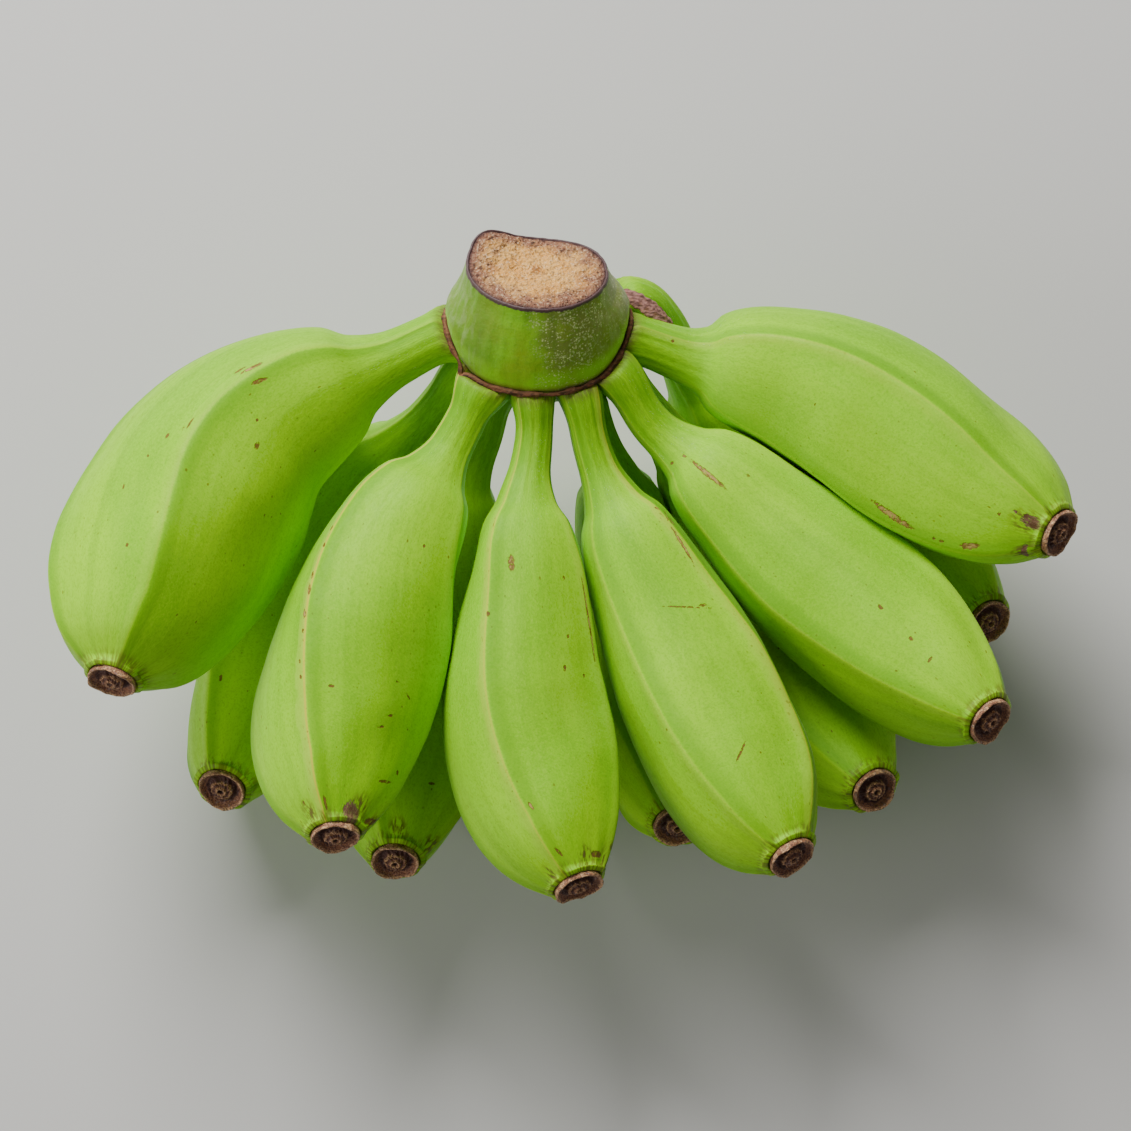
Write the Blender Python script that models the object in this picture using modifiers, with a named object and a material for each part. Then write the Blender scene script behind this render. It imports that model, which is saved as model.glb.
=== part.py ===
"""A hand of green cooking plantains, lying on its lower row of fingers.

The hand is the cut crown, the bract scar round it, and eleven fingers in two rows that grow from
its underside, each ending in a dried flower end. It is drawn in the hand's own frame, in mm:
X runs across the fan, Y from the fingertips to the crown, and Z up through the upper row.
An empty then leans the whole hand, until three fingers of the lower row carry it.
"""

import math

import bmesh
import bpy
import numpy as np
from mathutils import Vector

MM = 0.001

# How the hand lies: its lean about X, its roll about Y and where its own origin then is
LEAN_DEG = 7.0
ROLL_DEG = 0.0
HAND_AT = (0.3, 2.4, 74.5)

# A finger: the line through its middle from the crown to the flower end, its radii over the
# ridges at the belly, the neck and the root, where along it the shoulder starts, how far the
# belly's fullness comes forward to it, the turn of its first ridge from straight up, how far the
# ridges then twist between its shoulder and its tip, and where they are if not as in RIDGE_DEG
FINGERS = {
    "front_1": dict(line=((-18, 68, 2), (-31, 68, 2), (-46, 62, 1), (-62, 55, 1), (-89, 41, 2),
                          (-107, 17, 6), (-120, -10, 17), (-127, -31, 30)),
                    belly=33.0, neck=8.0, root=10.5, shoulder=0.21, full=0.05, turn=-24, twist=(-6, 30)),
    "front_2": dict(line=((-18, 61, 2), (-22, 55, 5), (-30, 40, 3), (-38, 26, 3), (-50, 5, 4),
                          (-59, -22, 5), (-66, -51, 12), (-65, -75, 27)),
                    belly=27.3, neck=6.4, root=7.6, shoulder=0.22, full=0.25, turn=-33, twist=(-22, 21)),
    "front_3": dict(line=((-11, 60, 3), (-10, 53, 7), (-9, 39, 5), (-11, 22, 5), (-11, -3, 6),
                          (-12, -31, 7), (-8, -61, 13), (3, -89, 28)),
                    belly=25.2, neck=5.8, root=5.8, shoulder=0.22, full=0.0, turn=-27, twist=(-10, 14),
                    ridges=(0.0, 95.0, 190.0, 275.0)),
    "front_4": dict(line=((-3, 60, 3), (3, 52, 6), (7, 37, 3), (13, 20, 1), (25, -7, 1), (39, -38, 4),
                          (52, -64, 13), (63, -81, 26)),
                    belly=26.0, neck=5.8, root=5.8, shoulder=0.23, full=0.0, turn=-45, twist=(5, 24),
                    ridges=(0.0, 87.0, 185.0, 270.0)),
    "front_5": dict(line=((3, 61, 2), (13, 57, 5), (24, 42, 0), (37, 31, -2), (60, 9, -4), (83, -12, -1),
                          (106, -32, 11), (119, -43, 24)),
                    belly=25.6, neck=6.3, root=6.3, shoulder=0.23, full=0.25, turn=-13, twist=(-34, -17)),
    "front_6": dict(line=((3, 66, 2), (18, 66, 1), (35, 61, -3), (50, 58, -5), (72, 52, -6), (94, 40, -4),
                          (120, 22, 5), (139, 10, 19)),
                    belly=28.5, neck=7.8, root=9.0, shoulder=0.21, full=0.4, turn=-68, twist=(2, -6),
                    ridges=(10.0, 92.0, 190.0, 275.0)),
    "back_1": dict(line=((-17, 66, -4), (-29, 57, -10), (-41, 44, -24), (-55, 31, -38), (-73, 5, -51),
                         (-86, -22, -51), (-94, -45, -40), (-101, -65, -18)),
                   belly=24.5, neck=6.2, root=6.6, shoulder=0.24, full=0.1, turn=-45),
    "back_2": dict(line=((-14, 66, -7), (-20, 55, -12), (-25, 39, -26), (-31, 26, -35), (-38, -1, -45),
                         (-43, -29, -48), (-47, -56, -42), (-50, -86, -17)),
                   belly=24.5, neck=6.2, root=6.6, shoulder=0.24, full=0.1, turn=-30),
    "back_3": dict(line=((-6, 67, -8), (4, 54, -14), (9, 39, -26), (14, 26, -34), (20, 2, -46),
                         (26, -26, -50), (31, -55, -43), (33, -76, -20)),
                   belly=24.5, neck=6.2, root=6.6, shoulder=0.26, full=0.1, turn=-40),
    "back_4": dict(line=((2, 66, -6), (14, 57, -12), (25, 45, -24), (35, 33, -33), (49, 8, -46),
                         (63, -20, -49), (76, -46, -37), (90, -65, -13)),
                   belly=24.5, neck=6.2, root=6.6, shoulder=0.25, full=0.1, turn=-20),
    "back_5": dict(line=((0, 68, -3), (10, 74, -8), (21, 77, -13), (29, 72, -22), (35, 61, -34),
                         (47, 47, -48), (67, 32, -56), (89, 16, -55), (108, -1, -42), (124, -16, -20)),
                   belly=24.5, neck=6.4, root=7.0, shoulder=0.3, full=0.2, turn=-38),
}

# The outline of a finger's body, from its shoulder (0) to its flower end (1), as a share of the belly
OUTLINE = (
    (0.07, 0.38), (0.12, 0.55), (0.20, 0.69), (0.31, 0.81), (0.42, 0.92), (0.53, 0.99), (0.62, 1.00),
    (0.71, 0.98), (0.80, 0.91), (0.885, 0.77), (0.95, 0.58),
)
FLOWER_END_RADIUS = 7.8

# The section: four ridges, with faces that sag between them by this share of the radius
RIDGE_DEG = (0.0, 108.0, 195.0, 275.0)
TWIST_AT = (0.35, 0.9)
FACE_SAG = 0.13
NECK_SAG = 0.08
POINTS_A_FACE = 5
STATIONS = 17
PRESS_STATIONS = 60
PRESS_GAP = 0.9

# The flower end: radius and height of its turned profile, from the rim's foot to the middle of the cup
NUB_PROFILE = (
    (0.0, 0.0), (6.9, 0.0), (7.4, 1.3), (7.0, 2.6), (6.0, 2.9), (4.9, 1.5), (3.6, 1.7), (2.7, 2.8), (1.6, 2.7),
    (1.1, 1.2), (0.0, 1.0),
)
NUB_STEPS = 12
NUB_GAP = 0.35

# The crown, in its own frame: Z along the cut peduncle, -Y towards the upper row of fingers.
# Each level is a height, a half width and a half depth; the scar sits under the lip at zero
CROWN_AT = (-8.0, 66.0, 0.0)
CROWN_TILT_DEG = -42.0
CROWN_SIDES = 28
CROWN_LEVELS = (
    (-19.0, 10.0, 7.0), (-16.0, 15.5, 11.0), (-11.5, 19.5, 14.2), (-6.0, 22.0, 16.5), (-1.9, 23.4, 18.1),
    (1.3, 27.2, 22.2), (5.0, 27.6, 22.5), (10.0, 26.8, 21.8), (15.0, 24.8, 20.3), (20.0, 22.4, 18.6),
    (24.0, 20.8, 17.4), (27.0, 20.1, 16.8),
)
BACK_DENT = 0.22

# The room that the fingers leave round the crown goes square round the scar
ROOM_LEVELS = CROWN_LEVELS[:4] + ((-3.3, 22.8, 17.5), (-3.1, 27.3, 22.2)) + CROWN_LEVELS[5:]

SCAR_RISE = 10.0
SCAR_RISE_TO = 6.0
LIFT_FROM_TO = (-19.0, -6.0, 0.0, 20.0)
CUT_HEIGHT = 27.0
CUT_SLOPE = -0.07
CUT_LIP = 4.5
CUT_LIP_AT = (-15.0, 9.0)
CUT_LIP_WIDTH = 8.0
CUT_SHARES = (0.7, 0.35, 0.06)

# The pith shows as a thin layer on the cut, set in from the skin
PITH_INSET = 1.3
PITH_THICKNESS = 1.4

SCAR_RADIUS = 1.1
SCAR_AT = (26.2, 20.8)
SCAR_HEIGHT = -1.5
SCAR_POINTS = 40
GAP = 0.35
ROOM_GAP = 0.45

# The table only trims the flat spots that the lowest fingers rest on
TABLE_SIDE = 500.0
TABLE_DEPTH = 30.0

GREEN = (0.36, 0.55, 0.08, 1.0)
DRIED_BROWN = (0.16, 0.08, 0.05, 1.0)
PITH_TAN = (0.58, 0.38, 0.20, 1.0)


def material(name, colour, roughness):
    made = bpy.data.materials.new(name)
    made.use_nodes = True
    shader = made.node_tree.nodes["Principled BSDF"]
    shader.inputs["Base Color"].default_value = colour
    shader.inputs["Roughness"].default_value = roughness
    shader.inputs["Metallic"].default_value = 0.0
    return made


def monotone(keys, at):
    """Values at `at` of the smooth curve through keys that never overshoots them."""
    x, y = np.array(keys, float).T
    step, rise = np.diff(x), np.diff(y) / np.diff(x)
    slope = np.zeros(len(x))
    same = rise[:-1] * rise[1:] > 0
    near, far = 2 * step[1:] + step[:-1], step[1:] + 2 * step[:-1]
    mean = (near + far) / (near / np.where(same, rise[:-1], 1) + far / np.where(same, rise[1:], 1))
    slope[1:-1] = np.where(same, mean, 0)
    slope[0], slope[-1] = rise[0], rise[-1]
    k = np.clip(np.searchsorted(x, at, side="right") - 1, 0, len(x) - 2)
    t = (at - x[k]) / step[k]
    blend = t * t * (3 - 2 * t)
    bend = step[k] * (t * (1 - t) ** 2 * slope[k] - t * t * (1 - t) * slope[k + 1])
    return y[k] * (1 - blend) + y[k + 1] * blend + bend


def smooth_line(points, count):
    """count points evenly along the natural cubic spline through points, and its unit tangents."""
    p = np.array(points, float)
    knots = np.concatenate([[0], np.cumsum(np.linalg.norm(np.diff(p, axis=0), axis=1))])
    step = np.diff(knots)
    n = len(p)
    rows, right = np.eye(n), np.zeros((n, 3))
    for i in range(1, n - 1):
        rows[i, i - 1 : i + 2] = step[i - 1], 2 * (step[i - 1] + step[i]), step[i]
        right[i] = 6 * ((p[i + 1] - p[i]) / step[i] - (p[i] - p[i - 1]) / step[i - 1])
    bend = np.linalg.solve(rows, right)
    at = np.linspace(0, knots[-1], 400)
    k = np.clip(np.searchsorted(knots, at, side="right") - 1, 0, n - 2)
    a, b, h = (knots[k + 1] - at)[:, None], (at - knots[k])[:, None], step[k][:, None]
    fine = (bend[k] * a**3 + bend[k + 1] * b**3) / (6 * h)
    fine += (p[k] / h - bend[k] * h / 6) * a + (p[k + 1] / h - bend[k + 1] * h / 6) * b
    run = np.concatenate([[0], np.cumsum(np.linalg.norm(np.diff(fine, axis=0), axis=1))])
    even = np.linspace(0, run[-1], count)
    line = np.stack([np.interp(even, run, fine[:, i]) for i in range(3)], 1)
    tangent = np.gradient(line, axis=0)
    return line, tangent / np.linalg.norm(tangent, axis=1)[:, None]


def face_sag(angle, sag, ridges):
    """Radius share at an angle round the finger, where faces sag between the ridges."""
    angle = np.mod(angle - ridges[0], 2 * np.pi) + ridges[0]
    k = np.clip(np.searchsorted(ridges, angle, side="right") - 1, 0, len(ridges) - 2)
    across = 2 * (angle - ridges[k]) / (ridges[k + 1] - ridges[k]) - 1
    return 1 - sag * (1 - across**2)


class Finger:
    """A finger as a line with a radius and a section at each of its stations."""

    def __init__(self, spec, stations):
        self.line, self.along = smooth_line(spec["line"], stations)
        up = np.array((0.0, 0.0, 1.0)) - self.along[:, 2:] * self.along
        self.front = up / np.linalg.norm(up, axis=1)[:, None]
        self.side = np.cross(self.front, self.along)
        share = np.linspace(0, 1, stations)
        first, last = spec.get("twist", (0, 0))
        self.turn = np.radians(spec["turn"] + np.interp(share, TWIST_AT, (first, last)))
        ridges = spec.get("ridges", RIDGE_DEG)
        self.ridges = np.radians(ridges + (ridges[0] + 360.0,))
        neck_end = spec["shoulder"]
        neck = ((0.0, 0.6 * spec["root"]), (0.3, spec["root"]), (0.62, spec["neck"]), (0.92, 1.08 * spec["neck"]))
        keys = [(u * neck_end, r) for u, r in neck]
        forward = [(u * (1 - spec["full"] * (1 - u)), k * spec["belly"]) for u, k in OUTLINE]
        keys += [(neck_end + u * (1 - neck_end), r) for u, r in forward]
        keys += [(1.0, FLOWER_END_RADIUS)]
        self.radius = monotone(keys, share)
        self.sag = np.interp(share, (0.0, neck_end, 0.4, 1.0), (NECK_SAG, NECK_SAG, FACE_SAG, FACE_SAG))

    def rings(self):
        """Surface points, one ring for each station, with a point on each ridge."""
        angles = section_angles(self.ridges)
        share = face_sag(angles[None, :], self.sag[:, None], self.ridges)
        r = (self.radius[:, None] * share)[..., None]
        turned = (angles[None, :] + self.turn[:, None])[..., None]
        out = np.cos(turned) * self.front[:, None, :] + np.sin(turned) * self.side[:, None, :]
        return self.line[:, None, :] + r * out

    def depth_outside(self, points):
        """How far each point lies outside this finger's skin, negative inside."""
        away = points[:, None, :] - self.line[None, :, :]
        lengthwise = np.einsum("pkj,kj->pk", away, self.along)
        x = np.einsum("pkj,kj->pk", away, self.front)
        y = np.einsum("pkj,kj->pk", away, self.side)
        angle = np.arctan2(y, x) - self.turn
        skin = self.radius[None, :] * face_sag(angle, self.sag[None, :], self.ridges)
        flat = np.hypot(x, y)
        return (np.hypot(flat, lengthwise) - skin).min(1)


def pressed(rings, own, others):
    """The rings with the skin drawn in where a neighbour presses on it, each giving way alike."""
    centre = np.repeat(own.line[:, None, :], rings.shape[1], 1).reshape(-1, 3)
    skin = rings.reshape(-1, 3)
    reach = np.linalg.norm(skin - centre, axis=1)
    low, high = np.full(len(skin), 0.35), np.ones(len(skin))

    def clear(share):
        at = centre + share[:, None] * (skin - centre)
        nearest = np.min([other.depth_outside(at) for other in others], axis=0)
        return nearest - (share - 1) * reach >= PRESS_GAP

    free = clear(high)
    for _ in range(12):
        middle = (low + high) / 2
        fits = clear(middle)
        low, high = np.where(fits, middle, low), np.where(fits, high, middle)
    share = np.where(free, 1.0, low)
    return (centre + share[:, None] * (skin - centre)).reshape(rings.shape)


def loft(name, rings, surface, collection):
    """A closed solid through rings of points in mm, about the object's own origin."""
    made = bmesh.new()
    count = len(rings[0])
    rows = [[made.verts.new(Vector(p) * MM) for p in ring] for ring in rings]
    for lower, upper in zip(rows, rows[1:]):
        for i in range(count):
            j = (i + 1) % count
            made.faces.new((lower[i], lower[j], upper[j]))
            made.faces.new((lower[i], upper[j], upper[i]))
    made.faces.new(rows[0][::-1])
    made.faces.new(rows[-1])
    bmesh.ops.recalc_face_normals(made, faces=made.faces)
    mesh = bpy.data.meshes.new(name)
    made.to_mesh(mesh)
    made.free()
    mesh.shade_smooth()
    mesh.set_sharp_from_angle(angle=math.radians(40))
    mesh.materials.append(surface)
    node = bpy.data.objects.new(name, mesh)
    collection.objects.link(node)
    return node


def section_angles(ridges):
    """Angles round a finger from its first ridge, with a point on each ridge."""
    steps = np.arange(POINTS_A_FACE) / POINTS_A_FACE
    return np.concatenate([a + (b - a) * steps for a, b in zip(ridges, ridges[1:])])


def scar_rise(round_angle):
    """How far the bract scar climbs at the sides of the crown, over the outer fingers' necks."""
    return SCAR_RISE * np.abs(np.cos(round_angle)) ** SCAR_RISE_TO


def crown_ring(height, wide, deep, sides, grow=0.0):
    """A ring of the crown: rounded in front, dented at the back, and lifted with the scar."""
    turn = np.linspace(0, 2 * np.pi, sides, endpoint=False)
    dent = np.where(np.sin(turn) > 0, 1 - BACK_DENT * np.sin(turn) ** 2, 1.0)
    x = (wide + grow) * np.cos(turn)
    y = (deep * dent + grow) * np.sin(turn)
    lift = scar_rise(turn) * np.interp(height, LIFT_FROM_TO, (0, 1, 1, 0))
    return np.stack([x, y, height + lift], 1)


def cut_lift(ring):
    """Height that the uneven cut adds over a level top: a slope across and a lip at one corner."""
    off = np.hypot(ring[:, 0] - CUT_LIP_AT[0], ring[:, 1] - CUT_LIP_AT[1])
    return CUT_SLOPE * ring[:, 0] + CUT_LIP * np.exp(-((off / CUT_LIP_WIDTH) ** 2))


def crown_rings(levels, grow=0.0):
    """The crown's rings, or those of the room that it and its scar need."""
    rings = []
    for height, wide, deep in levels:
        ring = crown_ring(height, wide, deep, CROWN_SIDES, grow)
        ring[:, 2] += cut_lift(ring) * np.clip((height - 15.0) / (CUT_HEIGHT - 15.0), 0, 1)
        rings.append(ring)
    rings[0][:, 2] -= grow
    return rings + cut_rings(CUT_HEIGHT + grow, 0.0, CUT_SHARES)


def cut_rings(height, inset, shares):
    """Rings that shrink across the cut, following its uneven surface."""
    _, wide, deep = CROWN_LEVELS[-1]
    rings = []
    for share in shares:
        ring = crown_ring(height, share * (wide - inset), share * (deep - inset), CROWN_SIDES)
        ring[:, 2] = height + cut_lift(ring)
        rings.append(ring)
    return rings


def place_on_crown(node, hand):
    node.location = Vector(CROWN_AT) * MM
    node.rotation_euler.x = math.radians(CROWN_TILT_DEG)
    node.parent = hand


def make_crown(hand, surface, parts):
    crown = loft("crown", crown_rings(CROWN_LEVELS), surface, parts)
    place_on_crown(crown, hand)


def make_pith(hand, surface, parts):
    """The tan inside of the peduncle, as the cut shows it."""
    foot = CUT_HEIGHT + GAP
    shares = (1.0,) + CUT_SHARES
    rings = cut_rings(foot, PITH_INSET, shares[::-1]) + cut_rings(foot + PITH_THICKNESS, PITH_INSET, shares)
    pith = loft("cut_pith", rings, surface, parts)
    place_on_crown(pith, hand)


def scar_curve(name, radius, collection):
    """The bract scar as a closed tube that runs round under the crown's lip."""
    curve = bpy.data.curves.new(name, "CURVE")
    curve.dimensions = "3D"
    curve.bevel_depth = radius * MM
    curve.bevel_resolution = 2
    spline = curve.splines.new("POLY")
    turn = np.linspace(0, 2 * np.pi, SCAR_POINTS, endpoint=False)
    ring = crown_ring(SCAR_HEIGHT, *SCAR_AT, SCAR_POINTS)
    ring[:, 2] = SCAR_HEIGHT + scar_rise(turn)
    spline.points.add(SCAR_POINTS - 1)
    spline.points.foreach_set("co", np.column_stack([ring * MM, np.ones(SCAR_POINTS)]).ravel())
    spline.use_cyclic_u = True
    tube = bpy.data.objects.new(name, curve)
    collection.objects.link(tube)
    return tube


def make_scar(hand, surface, parts):
    scar = scar_curve("bract_scar", SCAR_RADIUS, parts)
    scar.data.materials.append(surface)
    place_on_crown(scar, hand)


def as_cutter(node, hand):
    node.hide_render = True
    node.display_type = "WIRE"
    if hand:
        place_on_crown(node, hand)
    return node


def make_cutters(hand, collection):
    """Room for the crown in the fingers' roots, and the table under the lowest ones."""
    green = bpy.data.materials["green_skin"]
    crown_room = as_cutter(loft("crown_room", crown_rings(ROOM_LEVELS, ROOM_GAP), green, collection), hand)
    bpy.ops.mesh.primitive_cube_add(size=1)
    table = bpy.context.object
    table.name = "table"
    table.scale = (TABLE_SIDE * MM, TABLE_SIDE * MM, TABLE_DEPTH * MM)
    table.location.z = -0.5 * TABLE_DEPTH * MM
    for holder in list(table.users_collection):
        holder.objects.unlink(table)
    collection.objects.link(table)
    as_cutter(table, None)
    return crown_room, table


def cut(node, cutter):
    difference = node.modifiers.new("clear_" + cutter.name, "BOOLEAN")
    difference.operation = "DIFFERENCE"
    difference.solver = "EXACT"
    difference.object = cutter


def make_finger(name, own, neighbours, hand, cutters, surface, parts):
    others = [finger for key, finger in neighbours.items() if key != name]
    rings = pressed(own.rings(), own, others)
    root = own.line[0]
    node = loft("finger_" + name, rings - root, surface, parts)
    node.location = Vector(root) * MM
    node.parent = hand
    for cutter in cutters:
        cut(node, cutter)


def make_flower_end(name, finger, hand, surface, parts):
    """The dried flower end: a shallow cup with a curled rim, turned about the finger's own end."""
    profile = bmesh.new()
    points = [profile.verts.new((r * MM, 0, z * MM)) for r, z in NUB_PROFILE[::-1]]
    for a, b in zip(points, points[1:]):
        profile.edges.new((a, b))
    mesh = bpy.data.meshes.new("flower_end_" + name)
    profile.to_mesh(mesh)
    profile.free()
    mesh.materials.append(surface)
    node = bpy.data.objects.new("flower_end_" + name, mesh)
    turned = node.modifiers.new("turned", "SCREW")
    turned.steps = NUB_STEPS
    turned.render_steps = NUB_STEPS
    turned.use_merge_vertices = True
    turned.merge_threshold = 0.00001
    turned.use_smooth_shade = True
    along = finger.along[-1]
    node.location = Vector(finger.line[-1] + NUB_GAP * along) * MM
    node.rotation_mode = "QUATERNION"
    node.rotation_quaternion = Vector(along).to_track_quat("Z", "Y")
    node.parent = hand
    parts.objects.link(node)


def clear_scene():
    for obj in list(bpy.data.objects):
        bpy.data.objects.remove(obj)


def collection_named(name):
    made = bpy.data.collections.new(name)
    bpy.context.scene.collection.children.link(made)
    return made


def main():
    clear_scene()
    parts, cutting = collection_named("hand_of_plantains"), collection_named("cutters")
    green = material("green_skin", GREEN, 0.45)
    brown = material("dried_brown", DRIED_BROWN, 0.85)
    tan = material("cut_pith", PITH_TAN, 0.9)
    hand = bpy.data.objects.new("hand", None)
    hand.rotation_euler = (math.radians(LEAN_DEG), math.radians(ROLL_DEG), 0)
    hand.location = Vector(HAND_AT) * MM
    parts.objects.link(hand)
    make_crown(hand, green, parts)
    make_pith(hand, tan, parts)
    make_scar(hand, brown, parts)
    cutters = make_cutters(hand, cutting)
    neighbours = {name: Finger(spec, PRESS_STATIONS) for name, spec in FINGERS.items()}
    for name, spec in FINGERS.items():
        finger = Finger(spec, STATIONS)
        make_finger(name, finger, neighbours, hand, cutters, green, parts)
        make_flower_end(name, finger, hand, brown, parts)


main()
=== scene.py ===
"""The looks of a hand of green cooking plantains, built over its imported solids.

Each solid is replaced by a finer piece of the same form: keeled fingers with ribbed necks and
puckered tips, dried flower ends with curled lips, the crown with its fibrous cut, and the bract scar.
Shapes are drawn in the hand's own frame, in mm: X across the fan, Y from the fingertips to the crown,
Z up through the upper row. to_world leans them as the hand lies and turns them into metres.
"""

import math

import bmesh
import bpy
import numpy as np
from bpy.props import FloatProperty, FloatVectorProperty, IntProperty, PointerProperty
from bpy.types import Operator, Panel, PropertyGroup
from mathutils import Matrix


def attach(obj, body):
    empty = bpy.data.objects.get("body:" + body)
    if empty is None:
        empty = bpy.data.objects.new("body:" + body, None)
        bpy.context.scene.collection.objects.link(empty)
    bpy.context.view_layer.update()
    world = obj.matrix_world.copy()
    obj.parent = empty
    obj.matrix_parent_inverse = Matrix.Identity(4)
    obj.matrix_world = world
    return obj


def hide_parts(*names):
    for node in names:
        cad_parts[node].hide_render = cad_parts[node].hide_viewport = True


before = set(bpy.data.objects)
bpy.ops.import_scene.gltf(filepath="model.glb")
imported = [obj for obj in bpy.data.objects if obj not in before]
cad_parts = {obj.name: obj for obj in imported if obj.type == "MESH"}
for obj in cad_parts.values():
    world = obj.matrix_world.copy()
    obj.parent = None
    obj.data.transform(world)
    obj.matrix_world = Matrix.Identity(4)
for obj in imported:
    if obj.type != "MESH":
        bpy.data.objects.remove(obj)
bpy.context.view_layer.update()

bl_info = {
    "name": "Hand of Green Plantains",
    "version": (1, 0, 0),
    "blender": (4, 5, 0),
    "location": "3D View > Sidebar > Plantains",
    "description": "Builds the looks of a hand of green cooking plantains over its packed solids",
    "category": "Object",
}

MM = 0.001
BODY = "root"

# How the hand lies: its lean about X, and where its own origin then is
LEAN_DEG = 7.0
HAND_AT = (0.3, 2.4, 74.5)

# A finger: the line through its middle from the crown to the flower end, its radii over the
# ridges at the belly, the neck and the root, where along it the shoulder starts, how far the
# belly's fullness comes forward to it, the turn of its first ridge from straight up, how far the
# ridges then twist between its shoulder and its tip, and where they are if not as in RIDGE_DEG
FINGERS = {
    "front_1": dict(line=((-18, 68, 2), (-31, 68, 2), (-46, 62, 1), (-62, 55, 1), (-89, 41, 2),
                          (-107, 17, 6), (-120, -10, 17), (-127, -31, 30)),
                    belly=33.0, neck=8.0, root=10.5, shoulder=0.21, full=0.05, turn=-24, twist=(-6, 30)),
    "front_2": dict(line=((-18, 61, 2), (-22, 55, 5), (-30, 40, 3), (-38, 26, 3), (-50, 5, 4),
                          (-59, -22, 5), (-66, -51, 12), (-65, -75, 27)),
                    belly=27.3, neck=6.4, root=7.6, shoulder=0.22, full=0.25, turn=-33, twist=(-22, 21)),
    "front_3": dict(line=((-11, 60, 3), (-10, 53, 7), (-9, 39, 5), (-11, 22, 5), (-11, -3, 6),
                          (-12, -31, 7), (-8, -61, 13), (3, -89, 28)),
                    belly=25.2, neck=5.8, root=5.8, shoulder=0.22, full=0.0, turn=-27, twist=(-10, 14),
                    ridges=(0.0, 95.0, 190.0, 275.0)),
    "front_4": dict(line=((-3, 60, 3), (3, 52, 6), (7, 37, 3), (13, 20, 1), (25, -7, 1), (39, -38, 4),
                          (52, -64, 13), (63, -81, 26)),
                    belly=26.0, neck=5.8, root=5.8, shoulder=0.23, full=0.0, turn=-45, twist=(5, 24),
                    ridges=(0.0, 87.0, 185.0, 270.0)),
    "front_5": dict(line=((3, 61, 2), (13, 57, 5), (24, 42, 0), (37, 31, -2), (60, 9, -4), (83, -12, -1),
                          (106, -32, 11), (119, -43, 24)),
                    belly=25.6, neck=6.3, root=6.3, shoulder=0.23, full=0.25, turn=-13, twist=(-34, -17)),
    "front_6": dict(line=((3, 66, 2), (18, 66, 1), (35, 61, -3), (50, 58, -5), (72, 52, -6), (94, 40, -4),
                          (120, 22, 5), (139, 10, 19)),
                    belly=28.5, neck=7.8, root=9.0, shoulder=0.21, full=0.4, turn=-68, twist=(2, -6),
                    ridges=(10.0, 92.0, 190.0, 275.0)),
    "back_1": dict(line=((-17, 66, -4), (-29, 57, -10), (-41, 44, -24), (-55, 31, -38), (-73, 5, -51),
                         (-86, -22, -51), (-94, -45, -40), (-101, -65, -18)),
                   belly=24.5, neck=6.2, root=6.6, shoulder=0.24, full=0.1, turn=-45),
    "back_2": dict(line=((-14, 66, -7), (-20, 55, -12), (-25, 39, -26), (-31, 26, -35), (-38, -1, -45),
                         (-43, -29, -48), (-47, -56, -42), (-50, -86, -17)),
                   belly=24.5, neck=6.2, root=6.6, shoulder=0.24, full=0.1, turn=-30),
    "back_3": dict(line=((-6, 67, -8), (4, 54, -14), (9, 39, -26), (14, 26, -34), (20, 2, -46),
                         (26, -26, -50), (31, -55, -43), (33, -76, -20)),
                   belly=24.5, neck=6.2, root=6.6, shoulder=0.26, full=0.1, turn=-40),
    "back_4": dict(line=((2, 66, -6), (14, 57, -12), (25, 45, -24), (35, 33, -33), (49, 8, -46),
                         (63, -20, -49), (76, -46, -37), (90, -65, -13)),
                   belly=24.5, neck=6.2, root=6.6, shoulder=0.25, full=0.1, turn=-20),
    "back_5": dict(line=((0, 68, -3), (10, 74, -8), (21, 77, -13), (29, 72, -22), (35, 61, -34),
                         (47, 47, -48), (67, 32, -56), (89, 16, -55), (108, -1, -42), (124, -16, -20)),
                   belly=24.5, neck=6.4, root=7.0, shoulder=0.3, full=0.2, turn=-38),
}

# The outline of a finger's body, from its shoulder (0) to its flower end (1), as a share of the belly
OUTLINE = (
    (0.07, 0.38), (0.12, 0.55), (0.20, 0.69), (0.31, 0.81), (0.42, 0.92), (0.53, 0.99), (0.62, 1.00),
    (0.71, 0.98), (0.80, 0.91), (0.885, 0.77), (0.95, 0.58),
)
FLOWER_END_RADIUS = 9.3

# The section: four ridges, with faces that sag between them by this share of the radius
RIDGE_DEG = (0.0, 108.0, 195.0, 275.0)
TWIST_AT = (0.35, 0.9)
FACE_SAG = 0.13
NECK_SAG = 0.08
KEEL_WIDTH = 0.17

# Points on a line before it is cut into even steps, and how far points crowd to a face's edges
SPLINE_POINTS = 400
EDGE_CROWDING = 0.09

# Where neighbours press: how close two come to be tested, stations for testing it, the least share
# of its radius that the skin keeps, and how often the search for that share halves
PRESS_REACH = 3
PRESS_STATIONS = 60
PRESS_LEAST = 0.35
PRESS_STEPS = 11

# Waves of the skin's slow lumps: how many go round the finger and how many along it
LUMP_WAVES = ((1, 1.3), (2, 0.8), (2, 2.1), (3, 1.4), (3, 3.0), (4, 2.2), (5, 3.6))

# The green collar that the skin makes round the flower end: radius and distance past the finger's end
COLLAR = ((8.85, 0.35), (8.4, 0.65), (7.95, 0.95), (7.6, 1.15), (7.3, 1.15), (7.1, 0.7), (6.3, -0.3))

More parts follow.
